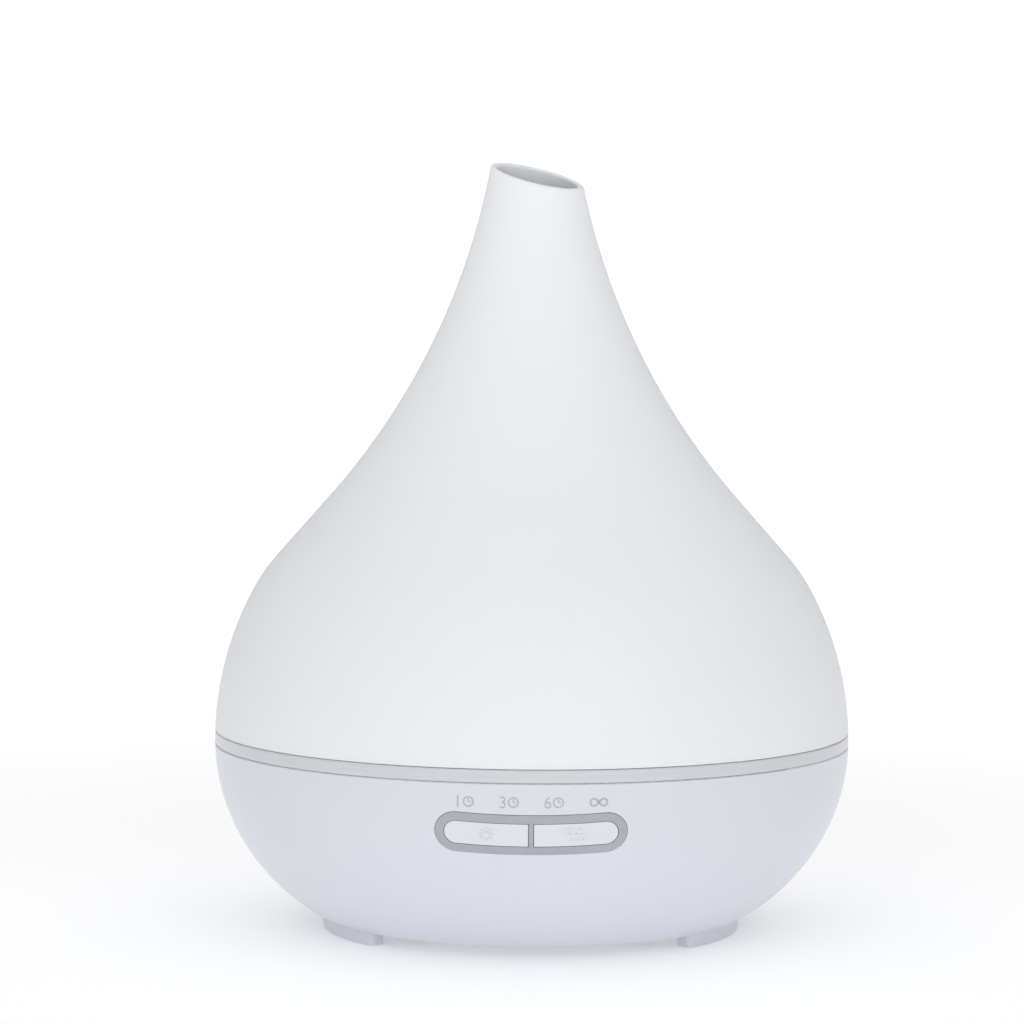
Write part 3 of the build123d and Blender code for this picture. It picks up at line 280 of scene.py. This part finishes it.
finishes = {
    "base_shell": baseAbs, "bottom_plate": baseAbs, "trim_ring": trimAbs, "top_cover": coverPolypropylene,
    "button_bezel": bezelAbs, "light_button": buttonAbs, "mist_button": buttonAbs,
    "water_tank": tankPolypropylene, "air_tower": tankPolypropylene, "air_duct": tankPolypropylene,
    "inner_lid": lidPolypropylene,
    "indicator_light_guide": lightGuideAcrylic, "cover_seal": siliconeRubber, "tank_gasket": siliconeRubber,
    "disc_seal": siliconeRubber, "foot_pads": padRubber, "disc_clamp": blackNylon, "fan_housing": blackNylon,
    "fan_rotor": blackNylon, "dc_socket": blackNylon, "light_switch": blackNylon, "mist_switch": blackNylon,
    "light_switch_stem": connectorNylon, "mist_switch_stem": connectorNylon, "control_chip": blackNylon,
    "power_transistor": blackNylon, "board_connectors": connectorNylon, "main_board": boardMask,
    "control_board": boardMask, "light_board": boardMask, "light_leds": ledEpoxy, "indicator_leds": ledEpoxy,
    "ultrasonic_disc": discSteel, "heat_sink": heatSinkAluminium, "inductor": windingCopper,
    "fan_stator": windingCopper, "capacitors": capacitorPvc, "fan_bush": bushBrass, "fan_shaft": shaftSteel,
    "socket_pin": bushBrass, "socket_nut": screwSteel,
}
for name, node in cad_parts.items():
    if name.endswith("_screws"):
        finish = screwSteel
    elif name.endswith("_lead"):
        finish = leadVinyl
    else:
        finish = finishes[name]
    node.data.materials.clear()
    node.data.materials.append(finish)
print("materials given to the packed nodes")

# Spun pieces: one tree turns a closed outline about Z, and slides a neck to its slanted mouth


def outlineMesh(name, outline):
    mesh = bpy.data.meshes.new(name)
    points = [(r * mm, 0, z * mm) for r, z in outline]
    mesh.from_pydata(points, [(at, (at + 1) % len(points)) for at in range(len(points))], [])
    return mesh


def spinTree():
    tree = bpy.data.node_groups.new("spunShell", "GeometryNodeTree")
    face = tree.interface
    face.new_socket("Geometry", in_out="INPUT", socket_type="NodeSocketGeometry")
    face.new_socket("Segments", in_out="INPUT", socket_type="NodeSocketInt")
    for name in ("Slope X", "Slope Y", "Neck Reach", "Neck Level", "Slide Start", "Slide End"):
        face.new_socket(name, in_out="INPUT", socket_type="NodeSocketFloat")
    face.new_socket("Material", in_out="INPUT", socket_type="NodeSocketMaterial")
    face.new_socket("Geometry", in_out="OUTPUT", socket_type="NodeSocketGeometry")

    def maths(operation, first, second=0.0):
        return addNode(tree, "ShaderNodeMath", {0: first, 1: second}, operation=operation).outputs[0]

    given = addNode(tree, "NodeGroupInput").outputs
    count = addNode(tree, "GeometryNodeAttributeDomainSize", {0: given["Geometry"]}).outputs["Point Count"]
    columns = maths("ADD", given["Segments"], 1.0)
    rows = maths("ADD", count, 1.0)
    grid = addNode(tree, "GeometryNodeMeshGrid", {"Vertices X": columns, "Vertices Y": rows})
    index = addNode(tree, "GeometryNodeInputIndex").outputs[0]
    column = maths("FLOOR", maths("DIVIDE", maths("ADD", index, 0.5), rows))
    row = maths("MODULO", maths("SUBTRACT", index, maths("MULTIPLY", column, rows)), count)
    here = addNode(tree, "GeometryNodeInputPosition").outputs[0]
    point = addNode(tree, "GeometryNodeSampleIndex", {
        "Geometry": given["Geometry"], "Value": here, "Index": row}, data_type="FLOAT_VECTOR").outputs[0]
    flat = addNode(tree, "ShaderNodeSeparateXYZ", {0: point}).outputs
    angle = maths("MULTIPLY", column, maths("DIVIDE", 2 * pi, given["Segments"]))
    slope = maths("ADD", maths("MULTIPLY", given["Slope X"], maths("COSINE", angle)),
                  maths("MULTIPLY", given["Slope Y"], maths("SINE", angle)))
    # a point keeps its distance to the neck arc's centre, so the wall stays the same as it slides
    inward = maths("SUBTRACT", given["Neck Reach"], flat[0])
    above = maths("SUBTRACT", flat[2], given["Neck Level"])
    reach = maths("ADD", maths("MULTIPLY", inward, inward), maths("MULTIPLY", above, above))
    weight = addNode(tree, "ShaderNodeMapRange", {
        "Value": flat[2], "From Min": given["Slide Start"], "From Max": given["Slide End"]},
        interpolation_type="SMOOTHSTEP").outputs[0]
    radius = flat[0]
    for turn in range(3):
        level = maths("ADD", flat[2], maths("MULTIPLY", weight, maths("MULTIPLY", slope, radius)))
        drop = maths("SUBTRACT", level, given["Neck Level"])
        radius = maths("SUBTRACT", given["Neck Reach"],
                       maths("SQRT", maths("SUBTRACT", reach, maths("MULTIPLY", drop, drop))))
    place = addNode(tree, "ShaderNodeCombineXYZ", {
        0: maths("MULTIPLY", radius, maths("COSINE", angle)),
        1: maths("MULTIPLY", radius, maths("SINE", angle)), 2: level})
    moved = addNode(tree, "GeometryNodeSetPosition",
                    {"Geometry": grid.outputs[0], "Position": place.outputs[0]})
    joined = addNode(tree, "GeometryNodeMergeByDistance",
                     {"Geometry": moved.outputs[0], "Distance": 0.001 * mm})
    smooth = addNode(tree, "GeometryNodeSetShadeSmooth", {"Geometry": joined.outputs[0]})
    real = addNode(tree, "GeometryNodeRealizeInstances", {"Geometry": smooth.outputs[0]})
    painted = addNode(tree, "GeometryNodeSetMaterial",
                      {"Geometry": real.outputs[0], "Material": given["Material"]})
    addNode(tree, "NodeGroupOutput", {0: painted.outputs[0]})
    return tree


def runTree(name, mesh, tree, settings):
    maker = bpy.data.objects.new(name + "Maker", mesh)
    bpy.context.collection.objects.link(maker)
    modifier = maker.modifiers.new("shape", "NODES")
    modifier.node_group = tree
    for socket in tree.interface.items_tree:
        if socket.in_out == "INPUT" and socket.name in settings:
            modifier[socket.identifier] = settings[socket.name]
    maker.update_tag()
    ready = maker.evaluated_get(bpy.context.evaluated_depsgraph_get())
    made = bpy.data.meshes.new_from_object(ready)
    bpy.data.objects.remove(maker)
    piece = bpy.data.objects.new(name, made)
    bpy.context.collection.objects.link(piece)
    return piece


def finishSpun(piece, sharpAngle=35):
    work = bmesh.new()
    work.from_mesh(piece.data)
    bmesh.ops.recalc_face_normals(work, faces=work.faces)
    work.to_mesh(piece.data)
    work.free()
    piece.data.set_sharp_from_angle(angle=radians(sharpAngle))
    return piece


def arcPoints(centre, radius, start, end, step):
    count = max(2, round(abs(radians(end - start)) * radius / step))
    turns = [radians(start + (end - start) * at / count) for at in range(count + 1)]
    return [(centre[0] + radius * cos(a), centre[1] + radius * sin(a)) for a in turns]


def roundedLoop(corners, steps=5):
    # corners are (r, z, rounding), going round once; each one becomes a small arc
    loop = []
    for at, (r, z, rounding) in enumerate(corners):
        here = Vector((r, z))
        before = (Vector(corners[at - 1][:2]) - here).normalized()
        after = (Vector(corners[(at + 1) % len(corners)][:2]) - here).normalized()
        if not rounding:
            loop.append((r, z))
            continue
        half = before.angle(after) / 2
        setBack = rounding / tan(half)
        centre = here + (before + after).normalized() * (rounding / sin(half))
        first, last = here + before * setBack - centre, here + after * setBack - centre
        for step in range(steps + 1):
            way = first.lerp(last, step / steps).normalized()
            loop.append(tuple(centre + way * rounding))
    return loop


spunShell = spinTree()

coverShape = {
    "rimRadius": 84.0, "rimLevel": 50.1,          # where the shoulder arc starts
    "shoulderRadius": 83.8, "shoulderLean": 28.2,
    "crownRadius": 48.2, "crownLean": 41.4,
    "flank": 20.7, "neckRadius": 180.4,
    "mouthLevel": 199.35, "mouthSlant": 16.05, "mouthTurn": -37.3,
    "wall": 1.8, "lipRound": 0.75, "footRound": 0.4,
    "slideStart": 140, "slideEnd": 192,           # levels between which the mouth's slant comes in
    "gap": 0.12, "shelf": 1.7, "relief": 0.3,     # over the trim ring: running gap, shelf, its relief
    "skirtWall": 1.6, "skirtRound": 0.3, "sealStretch": 0.44,
    "grooveHeight": 1.2, "grooveDepth": 0.54, "grooveLift": 3.1 / 3 - 0.15,
    "step": 2.2, "footStep": 0.12, "lipStep": 0.2, "leastStep": 0.2, "segments": 216,
}


def coverCentres(shape):
    lean, steep = radians(shape["shoulderLean"]), radians(shape["crownLean"])
    low = Vector((shape["rimRadius"] - shape["shoulderRadius"], shape["rimLevel"]))
    crown = low + (shape["shoulderRadius"] - shape["crownRadius"]) * Vector((cos(lean), sin(lean)))
    neck = crown + (shape["crownRadius"] + shape["neckRadius"]) * Vector((cos(steep), sin(steep)))
    return low, crown, neck + shape["flank"] * Vector((-sin(steep), cos(steep)))


def coverSide(shape, inset, fromLevel, toLevel):
    low, crown, neck = coverCentres(shape)
    step = shape["step"]
    radius = shape["shoulderRadius"] - inset
    start = degrees(atan2(fromLevel - low.y, sqrt(radius ** 2 - (fromLevel - low.y) ** 2)))
    side = arcPoints(low, radius, start, shape["shoulderLean"], step)
    side += arcPoints(crown, shape["crownRadius"] - inset, shape["shoulderLean"], shape["crownLean"], step)
    neckReach = shape["neckRadius"] + inset
    end = 180 - degrees(atan2(toLevel - neck.y, sqrt(neckReach ** 2 - (toLevel - neck.y) ** 2)))
    side += arcPoints(neck, neckReach, 180 + shape["crownLean"], end, step)
    clean = [side[0]]
    for point in side[1:]:
        if hypot(point[0] - clean[-1][0], point[1] - clean[-1][1]) > shape["leastStep"]:
            clean.append(point)
    return clean


def makeCover(shape):
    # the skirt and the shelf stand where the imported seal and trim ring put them
    skirtLow = corner("top_cover")[0][2]
    sealLow, sealHigh = corner("cover_seal")
    skirtInner = sealHigh[0] - shape["sealStretch"]
    skirtOuter = skirtInner + shape["skirtWall"]
    wall, mouth, middle = shape["wall"], shape["mouthLevel"], shape["slideStart"]
    bottom = corner("trim_ring")[1][2] + shape["gap"]
    shelfLow, shelfHigh = bottom + shape["relief"], bottom + shape["shelf"]
    outerRadius = coverSide(shape, 0, bottom, middle)[0][0]
    innerRadius = coverSide(shape, wall, shelfHigh, middle)[0][0]
    lip, edge = shape["lipRound"], shape["footRound"]
    outer = coverSide(shape, 0, bottom + edge, mouth - lip)
    inner = coverSide(shape, wall, shelfHigh, mouth - lip)[::-1]
    outline = arcPoints((outerRadius - edge, bottom + edge), edge, -90, -8, shape["footStep"]) + outer
    outline += arcPoints((outer[-1][0] - lip, mouth - lip), lip, 12, 90, shape["lipStep"])
    outline += arcPoints((inner[0][0] + lip, mouth - lip), lip, 90, 168, shape["lipStep"]) + inner
    grooveLow = sealLow[2] + shape["grooveLift"]
    grooveHigh = grooveLow + shape["grooveHeight"]
    grooveInner, corners = skirtInner + shape["grooveDepth"], shape["skirtRound"]
    outline += [
        (innerRadius, shelfHigh), (skirtInner, shelfHigh), (skirtInner, grooveHigh),
        (grooveInner, grooveHigh), (grooveInner, grooveLow), (skirtInner, grooveLow),
        (skirtInner, skirtLow + corners), (skirtInner + corners, skirtLow), (skirtOuter - corners, skirtLow),
        (skirtOuter, skirtLow + corners), (skirtOuter, shelfLow), (outerRadius - wall, shelfLow),
        (outerRadius - wall, bottom)]
    slope = tan(radians(shape["mouthSlant"]))
    neck = coverCentres(shape)[2]
    turn = radians(shape["mouthTurn"])
    piece = runTree("cover", outlineMesh("coverOutline", outline), spunShell, {
        "Segments": shape["segments"], "Slope X": -slope * cos(turn), "Slope Y": -slope * sin(turn),
        "Neck Reach": neck.x * mm, "Neck Level": neck.y * mm,
        "Slide Start": shape["slideStart"] * mm, "Slide End": shape["slideEnd"] * mm,
        "Material": coverPolypropylene})
    finishSpun(piece)
    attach(piece, "cover")
    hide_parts("top_cover")
    return piece


cover = makeCover(coverShape)
print("cover spun:", len(cover.data.polygons), "faces")

ringShape = {"lipWidth": 5.7, "lipHeight": 3.35, "skirtOuter": 81.49, "skirtWall": 1.8, "edgeRound": 0.4,
             "segments": 216}


def makeTrimRing(shape):
    low, high = corner("trim_ring")
    outer, edge = high[0], shape["edgeRound"]
    lipLow = high[2] - shape["lipHeight"]
    lipInner = outer - shape["lipWidth"]
    skirtInner = shape["skirtOuter"] - shape["skirtWall"]
    outline = roundedLoop([
        (outer, lipLow, edge), (outer, high[2], edge), (lipInner, high[2], 0.2), (lipInner, lipLow, 0),
        (skirtInner, lipLow, 0), (skirtInner, low[2], 0.15), (shape["skirtOuter"], low[2], 0.15),
        (shape["skirtOuter"], lipLow, 0)])
    piece = runTree("trimRing", outlineMesh("trimOutline", outline), spunShell, {
        "Segments": shape["segments"], "Neck Reach": 1.0, "Slide Start": 0.9, "Slide End": 1.0,
        "Material": trimAbs})
    finishSpun(piece)
    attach(piece, "base")
    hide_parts("trim_ring")


makeTrimRing(ringShape)
print("trim ring spun")

# Plate screws: one form, put on the four pillars and turned by chance, as a driver leaves them

plateScrews = {
    "ring": 42.0, "angles": (30, 150, 225, 315),   # the pillars under the tank
    "head": 2.6, "headRise": 0.8, "headEdge": 0.8, "shank": 1.4, "tip": 0.9, "tipLength": 1.0,
    "segments": 40,
    "recessWidth": 0.55, "recessReach": 1.55, "recessDepth": 0.7, "seed": 7}


def screwTree():
    tree = bpy.data.node_groups.new("screwRow", "GeometryNodeTree")
    face = tree.interface
    face.new_socket("Geometry", in_out="INPUT", socket_type="NodeSocketGeometry")
    face.new_socket("Form", in_out="INPUT", socket_type="NodeSocketObject")
    for name in ("Recess Width", "Recess Reach", "Recess Depth", "Head Level"):
        face.new_socket(name, in_out="INPUT", socket_type="NodeSocketFloat")
    face.new_socket("Seed", in_out="INPUT", socket_type="NodeSocketInt")
    face.new_socket("Material", in_out="INPUT", socket_type="NodeSocketMaterial")
    face.new_socket("Geometry", in_out="OUTPUT", socket_type="NodeSocketGeometry")
    given = addNode(tree, "NodeGroupInput").outputs

    def doubled(value):
        return addNode(tree, "ShaderNodeMath", {0: value, 1: 2.0}, operation="MULTIPLY").outputs[0]

    long, deep = doubled(given["Recess Reach"]), doubled(given["Recess Depth"])
    along = addNode(tree, "ShaderNodeCombineXYZ", {0: long, 1: given["Recess Width"], 2: deep})
    across = addNode(tree, "ShaderNodeCombineXYZ", {0: given["Recess Width"], 1: long, 2: deep})
    place = addNode(tree, "ShaderNodeCombineXYZ", {2: given["Head Level"]})
    form = addNode(tree, "GeometryNodeObjectInfo", {"Object": given["Form"]})
    cut = addNode(tree, "GeometryNodeMeshBoolean", {"Mesh 1": form.outputs["Geometry"]},
                  operation="DIFFERENCE")
    for size in (along, across):
        bar = addNode(tree, "GeometryNodeMeshCube", {"Size": size.outputs[0]})
        moved = addNode(tree, "GeometryNodeTransform",
                        {"Geometry": bar.outputs[0], "Translation": place.outputs[0]})
        tree.links.new(moved.outputs[0], cut.inputs["Mesh 2"])
    chance = addNode(tree, "FunctionNodeRandomValue", {"Seed": given["Seed"], 1: (0.0, 0.0, 2 * pi)},
                     data_type="FLOAT_VECTOR")
    turned = addNode(tree, "FunctionNodeEulerToRotation", {0: chance.outputs[0]})
    placed = addNode(tree, "GeometryNodeInstanceOnPoints", {
        "Points": given["Geometry"], "Instance": cut.outputs[0], "Rotation": turned.outputs[0]})
    real = addNode(tree, "GeometryNodeRealizeInstances", {"Geometry": placed.outputs[0]})
    painted = addNode(tree, "GeometryNodeSetMaterial",
                      {"Geometry": real.outputs[0], "Material": given["Material"]})
    addNode(tree, "NodeGroupOutput", {0: painted.outputs[0]})
    return tree


def makePlateScrews(style):
    low, high = corner("plate_screws")
    top = high[2] - low[2]
    head, shank = style["head"], style["shank"]
    seat = style["headRise"] + style["headEdge"]
    dome = [(0, 0), (head * 0.6, 0.0), (head * 0.85, 0.14), (head * 0.97, 0.42)]
    rim = [(head, style["headRise"]), (head, seat), (shank, seat)]
    tip = [(shank, top - style["tipLength"]), (style["tip"], top), (0, top)]
    form = runTree("plateScrewForm", outlineMesh("plateScrewOutline", dome + rim + tip), spunShell, {
        "Segments": style["segments"], "Slope X": 0.0, "Slope Y": 0.0, "Neck Reach": 1.0, "Neck Level": 1.0,
        "Slide Start": 2.0, "Slide End": 3.0, "Material": screwSteel})
    finishSpun(form)
    spots = bpy.data.meshes.new("plateScrewSpots")
    ring = style["ring"]
    spots.from_pydata([(ring * cos(radians(a)) * mm, ring * sin(radians(a)) * mm, low[2] * mm)
                       for a in style["angles"]], [], [])
    piece = runTree("plateScrews", spots, screwTree(), {
        "Form": form, "Recess Width": style["recessWidth"] * mm, "Recess Reach": style["recessReach"] * mm,
        "Recess Depth": style["recessDepth"] * mm, "Head Level": 0.0, "Seed": style["seed"],
        "Material": screwSteel})
    bpy.data.objects.remove(form)
    finishSpun(piece)
    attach(piece, "base")
    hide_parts("plate_screws")
    return piece


plateScrewPiece = makePlateScrews(plateScrews)
print("plate screws placed:", len(plateScrewPiece.data.polygons), "faces")

# Timer marks: printed on the bowl above the buttons

markStyle = {"spacing": 11.2, "level": 44.5, "height": 3.05, "thick": 0.03, "stroke": 0.5,
             "clockRadius": 1.2, "numeralShift": -1.5, "clockShift": 1.15}
bowlShape = {"rimRadius": 84.0, "rimLevel": 50.1, "reach": 55.6, "drop": 53.4}


def bowlRadius(z):
    fall = (bowlShape["rimLevel"] - z) / bowlShape["drop"]
    return bowlShape["rimRadius"] - bowlShape["reach"] + bowlShape["reach"] * sqrt(1 - fall * fall)


def strokeLoop(points, width, closed):
    # a flat band of even width along a path: outer side first, then back along the inner side
    count = len(points)
    left, right = [], []
    for at, point in enumerate(points):
        here = Vector(point)
        before = Vector(points[at - 1] if closed or at else points[at])
        after = Vector(points[(at + 1) % count] if closed or at < count - 1 else points[at])
        along = (after - before).normalized()
        aside = Vector((-along.y, along.x)) * width / 2
        left.append(here + aside)
        right.append(here - aside)
    return left, right


def addBand(work, points, width, closed=False):
    left, right = strokeLoop(points, width, closed)
    pairs = [(work.verts.new((a.x, a.y, 0)), work.verts.new((b.x, b.y, 0))) for a, b in zip(left, right)]
    spans = len(pairs) if closed else len(pairs) - 1
    for at in range(spans):
        a, b = pairs[at]
        c, d = pairs[(at + 1) % len(pairs)]
        work.faces.new((a, c, d, b))


def circlePath(x, y, radius, count=28, start=0.0, sweep=360.0):
    turns = [radians(start + sweep * at / count) for at in range(count + (sweep != 360.0))]
    return [(x + radius * cos(a), y + radius * sin(a)) for a in turns]


def addClock(work, x, style):
    radius = style["clockRadius"]
    addBand(work, circlePath(x, 0, radius), style["stroke"] * 0.75, closed=True)
    addBand(work, [(x, 0.75 * radius), (x, 0.0)], style["stroke"] * 0.6)
    addBand(work, [(x, 0.0), (x + 0.55 * radius, 0.0)], style["stroke"] * 0.6)


def addEndless(work, x, style):
    # a lying figure of eight: the mist runs on until it is switched off
    loop = []
    for at in range(56):
        turn = 2 * pi * at / 56
        bend = 1 + sin(turn) ** 2
        loop.append((x + 2.1 * cos(turn) / bend, 2.6 * sin(turn) * cos(turn) / bend))
    addBand(work, loop, style["stroke"], closed=True)


def addNumeral(work, text, x, style):
    curve = bpy.data.curves.new("numeral", "FONT")
    curve.body = text
    curve.align_x = "CENTER"
    curve.align_y = "CENTER"
    curve.size = 1.0
    holder = bpy.data.objects.new("numeral", curve)
    bpy.context.collection.objects.link(holder)
    flat = bpy.data.meshes.new_from_object(holder.evaluated_get(bpy.context.evaluated_depsgraph_get()))
    bpy.data.objects.remove(holder)
    xs, ys = [v.co.x for v in flat.vertices], [v.co.y for v in flat.vertices]
    size = style["height"] / (max(ys) - min(ys))
    midX, midY = (max(xs) + min(xs)) / 2, (max(ys) + min(ys)) / 2
    across = size * 0.9
    made = [work.verts.new((x + (v.co.x - midX) * across, (v.co.y - midY) * size, 0))
            for v in flat.vertices]
    for face in flat.polygons:
        work.faces.new([made[at] for at in face.vertices])


def makeTimerMarks(style):
    work = bmesh.new()
    for step, text in ((-1.5, "1"), (-0.5, "3"), (0.5, "6")):
        middle = style["spacing"] * step
        addNumeral(work, text, middle + style["numeralShift"], style)
        addClock(work, middle + style["clockShift"], style)
    addEndless(work, style["spacing"] * 1.5, style)
    bmesh.ops.triangulate(work, faces=work.faces)
    for cut in range(2):  # short edges, so that the ink lies on the curved bowl
        long = [edge for edge in work.edges if edge.calc_length() > 0.5]
        bmesh.ops.subdivide_edges(work, edges=long, cuts=1)
        bmesh.ops.triangulate(work, faces=work.faces)
    for vert in work.verts:
        x, level = vert.co.x, style["level"] + vert.co.y
        depth = sqrt(bowlRadius(level) ** 2 - x * x) + style["thick"]
        vert.co = Vector((x, -depth, level)) * mm
    bmesh.ops.recalc_face_normals(work, faces=work.faces)
    for face in work.faces:
        if face.normal.y > 0:
            face.normal_flip()
    mesh = bpy.data.meshes.new("timerMarks")
    work.to_mesh(mesh)
    work.free()
    mesh.materials.append(markInk)
    mesh.shade_smooth()
    piece = bpy.data.objects.new("timerMarks", mesh)
    bpy.context.collection.objects.link(piece)
    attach(piece, "base")


makeTimerMarks(markStyle)
print("timer marks laid on the bowl")

# The floor, the light and the camera

lighting = {
    # nearGlow and farGlow set the floor's painted glow: low near the object for painted shade, high far off
    # for a white floor
    "ambient": 0.42, "backdrop": 1.3, "nearGlow": 0.25, "farGlow": 0.75, "glowFrom": 0.16, "glowTo": 1.2,
    "floorRadius": 4.0, "aim": (0.0, 0.0, 0.09),
    "top": {"place": (0.0, 0.1, 1.7), "size": 2.6, "power": 14.0},
    "left": {"place": (-0.7, -2.0, 0.8), "size": 1.2, "power": 7.0},
    "right": {"place": (0.75, -2.0, 0.7), "size": 1.2, "power": 6.4},
}


def makeFloor():
    mesh = bpy.data.meshes.new("floor")
    work = bmesh.new()
    bmesh.ops.create_circle(work, cap_ends=True, radius=lighting["floorRadius"], segments=96)
    work.to_mesh(mesh)
    work.free()
    floor = bpy.data.objects.new("floor", mesh)
    bpy.context.collection.objects.link(floor)
    material, tree, shader = newMaterial("floor_paper_painted_glow", IOR=1.45)  # white paper sweep, dead matte, with a painted glow that lights the floor and the bowl's underside though it is no lamp
    place = addNode(tree, "ShaderNodeTexCoord").outputs["Object"]
    fibre = addNode(tree, "ShaderNodeTexNoise", {"Vector": place, "Scale": perMm(2.0), "Detail": 4.0})
    rough = addNode(tree, "ShaderNodeMapRange", {"Value": fibre.outputs[0], "To Min": 0.75, "To Max": 0.9})
    shader.inputs["Base Color"].default_value = linear("#FAFAFA")
    away = addNode(tree, "ShaderNodeVectorMath", {0: place}, operation="LENGTH")  # painted glow, weaker near the object as painted shade round it, and stronger far off
    glow = addNode(tree, "ShaderNodeMapRange", {
        "Value": away.outputs["Value"], "From Min": lighting["glowFrom"], "From Max": lighting["glowTo"],
        "To Min": lighting["nearGlow"], "To Max": lighting["farGlow"]}, interpolation_type="SMOOTHSTEP")
    shader.inputs["Emission Color"].default_value = (1, 1, 1, 1)
    tree.links.new(glow.outputs[0], shader.inputs["Emission Strength"])
    tree.links.new(rough.outputs[0], shader.inputs["Roughness"])
    mesh.materials.append(material)


def makeLights(set):
    world = bpy.data.worlds.new("studio")
    world.use_nodes = True
    bpy.context.scene.world = world
    tree = world.node_tree
    tree.nodes.clear()
    seen = addNode(tree, "ShaderNodeBackground", {"Color": (1, 1, 1, 1), "Strength": set["backdrop"]})
    fill = addNode(tree, "ShaderNodeBackground",
                   {"Color": (0.97, 0.98, 1.0, 1), "Strength": set["ambient"]})
    path = addNode(tree, "ShaderNodeLightPath")
    mixed = addNode(tree, "ShaderNodeMixShader", {0: path.outputs["Is Camera Ray"], 1: fill.outputs[0],
                                                  2: seen.outputs[0]})
    addNode(tree, "ShaderNodeOutputWorld", {0: mixed.outputs[0]})
    for name in ("top", "left", "right"):
        lamp = bpy.data.lights.new(name + "Softbox", "AREA")
        lamp.shape = "SQUARE"
        lamp.size = set[name]["size"]
        lamp.energy = set[name]["power"]
        box = bpy.data.objects.new(name + "Softbox", lamp)
        bpy.context.collection.objects.link(box)
        box.location = set[name]["place"]
        aim = Vector(set["aim"]) - box.location
        box.rotation_euler = aim.to_track_quat("-Z", "Y").to_euler()


cameraSetup = {"place": (0.0, -1.2348, 0.2065), "aim": (-0.0056, 0.0, 0.1103), "roll": 0.35, "lens": 164.4}


def makeCamera(setup):
    data = bpy.data.cameras.new("camera")
    data.lens = setup["lens"]
    data.sensor_width = 36.0
    camera = bpy.data.objects.new("camera", data)
    bpy.context.collection.objects.link(camera)
    camera.location = setup["place"]
    aimed = (Vector(setup["aim"]) - camera.location).to_track_quat("-Z", "Y")
    camera.rotation_euler = (aimed @ Quaternion((0, 0, 1), radians(setup["roll"]))).to_euler()
    bpy.context.scene.camera = camera


makeFloor()
makeLights(lighting)
makeCamera(cameraSetup)
bpy.context.scene.view_settings.view_transform = "Standard"
print("stage, lights and camera set")
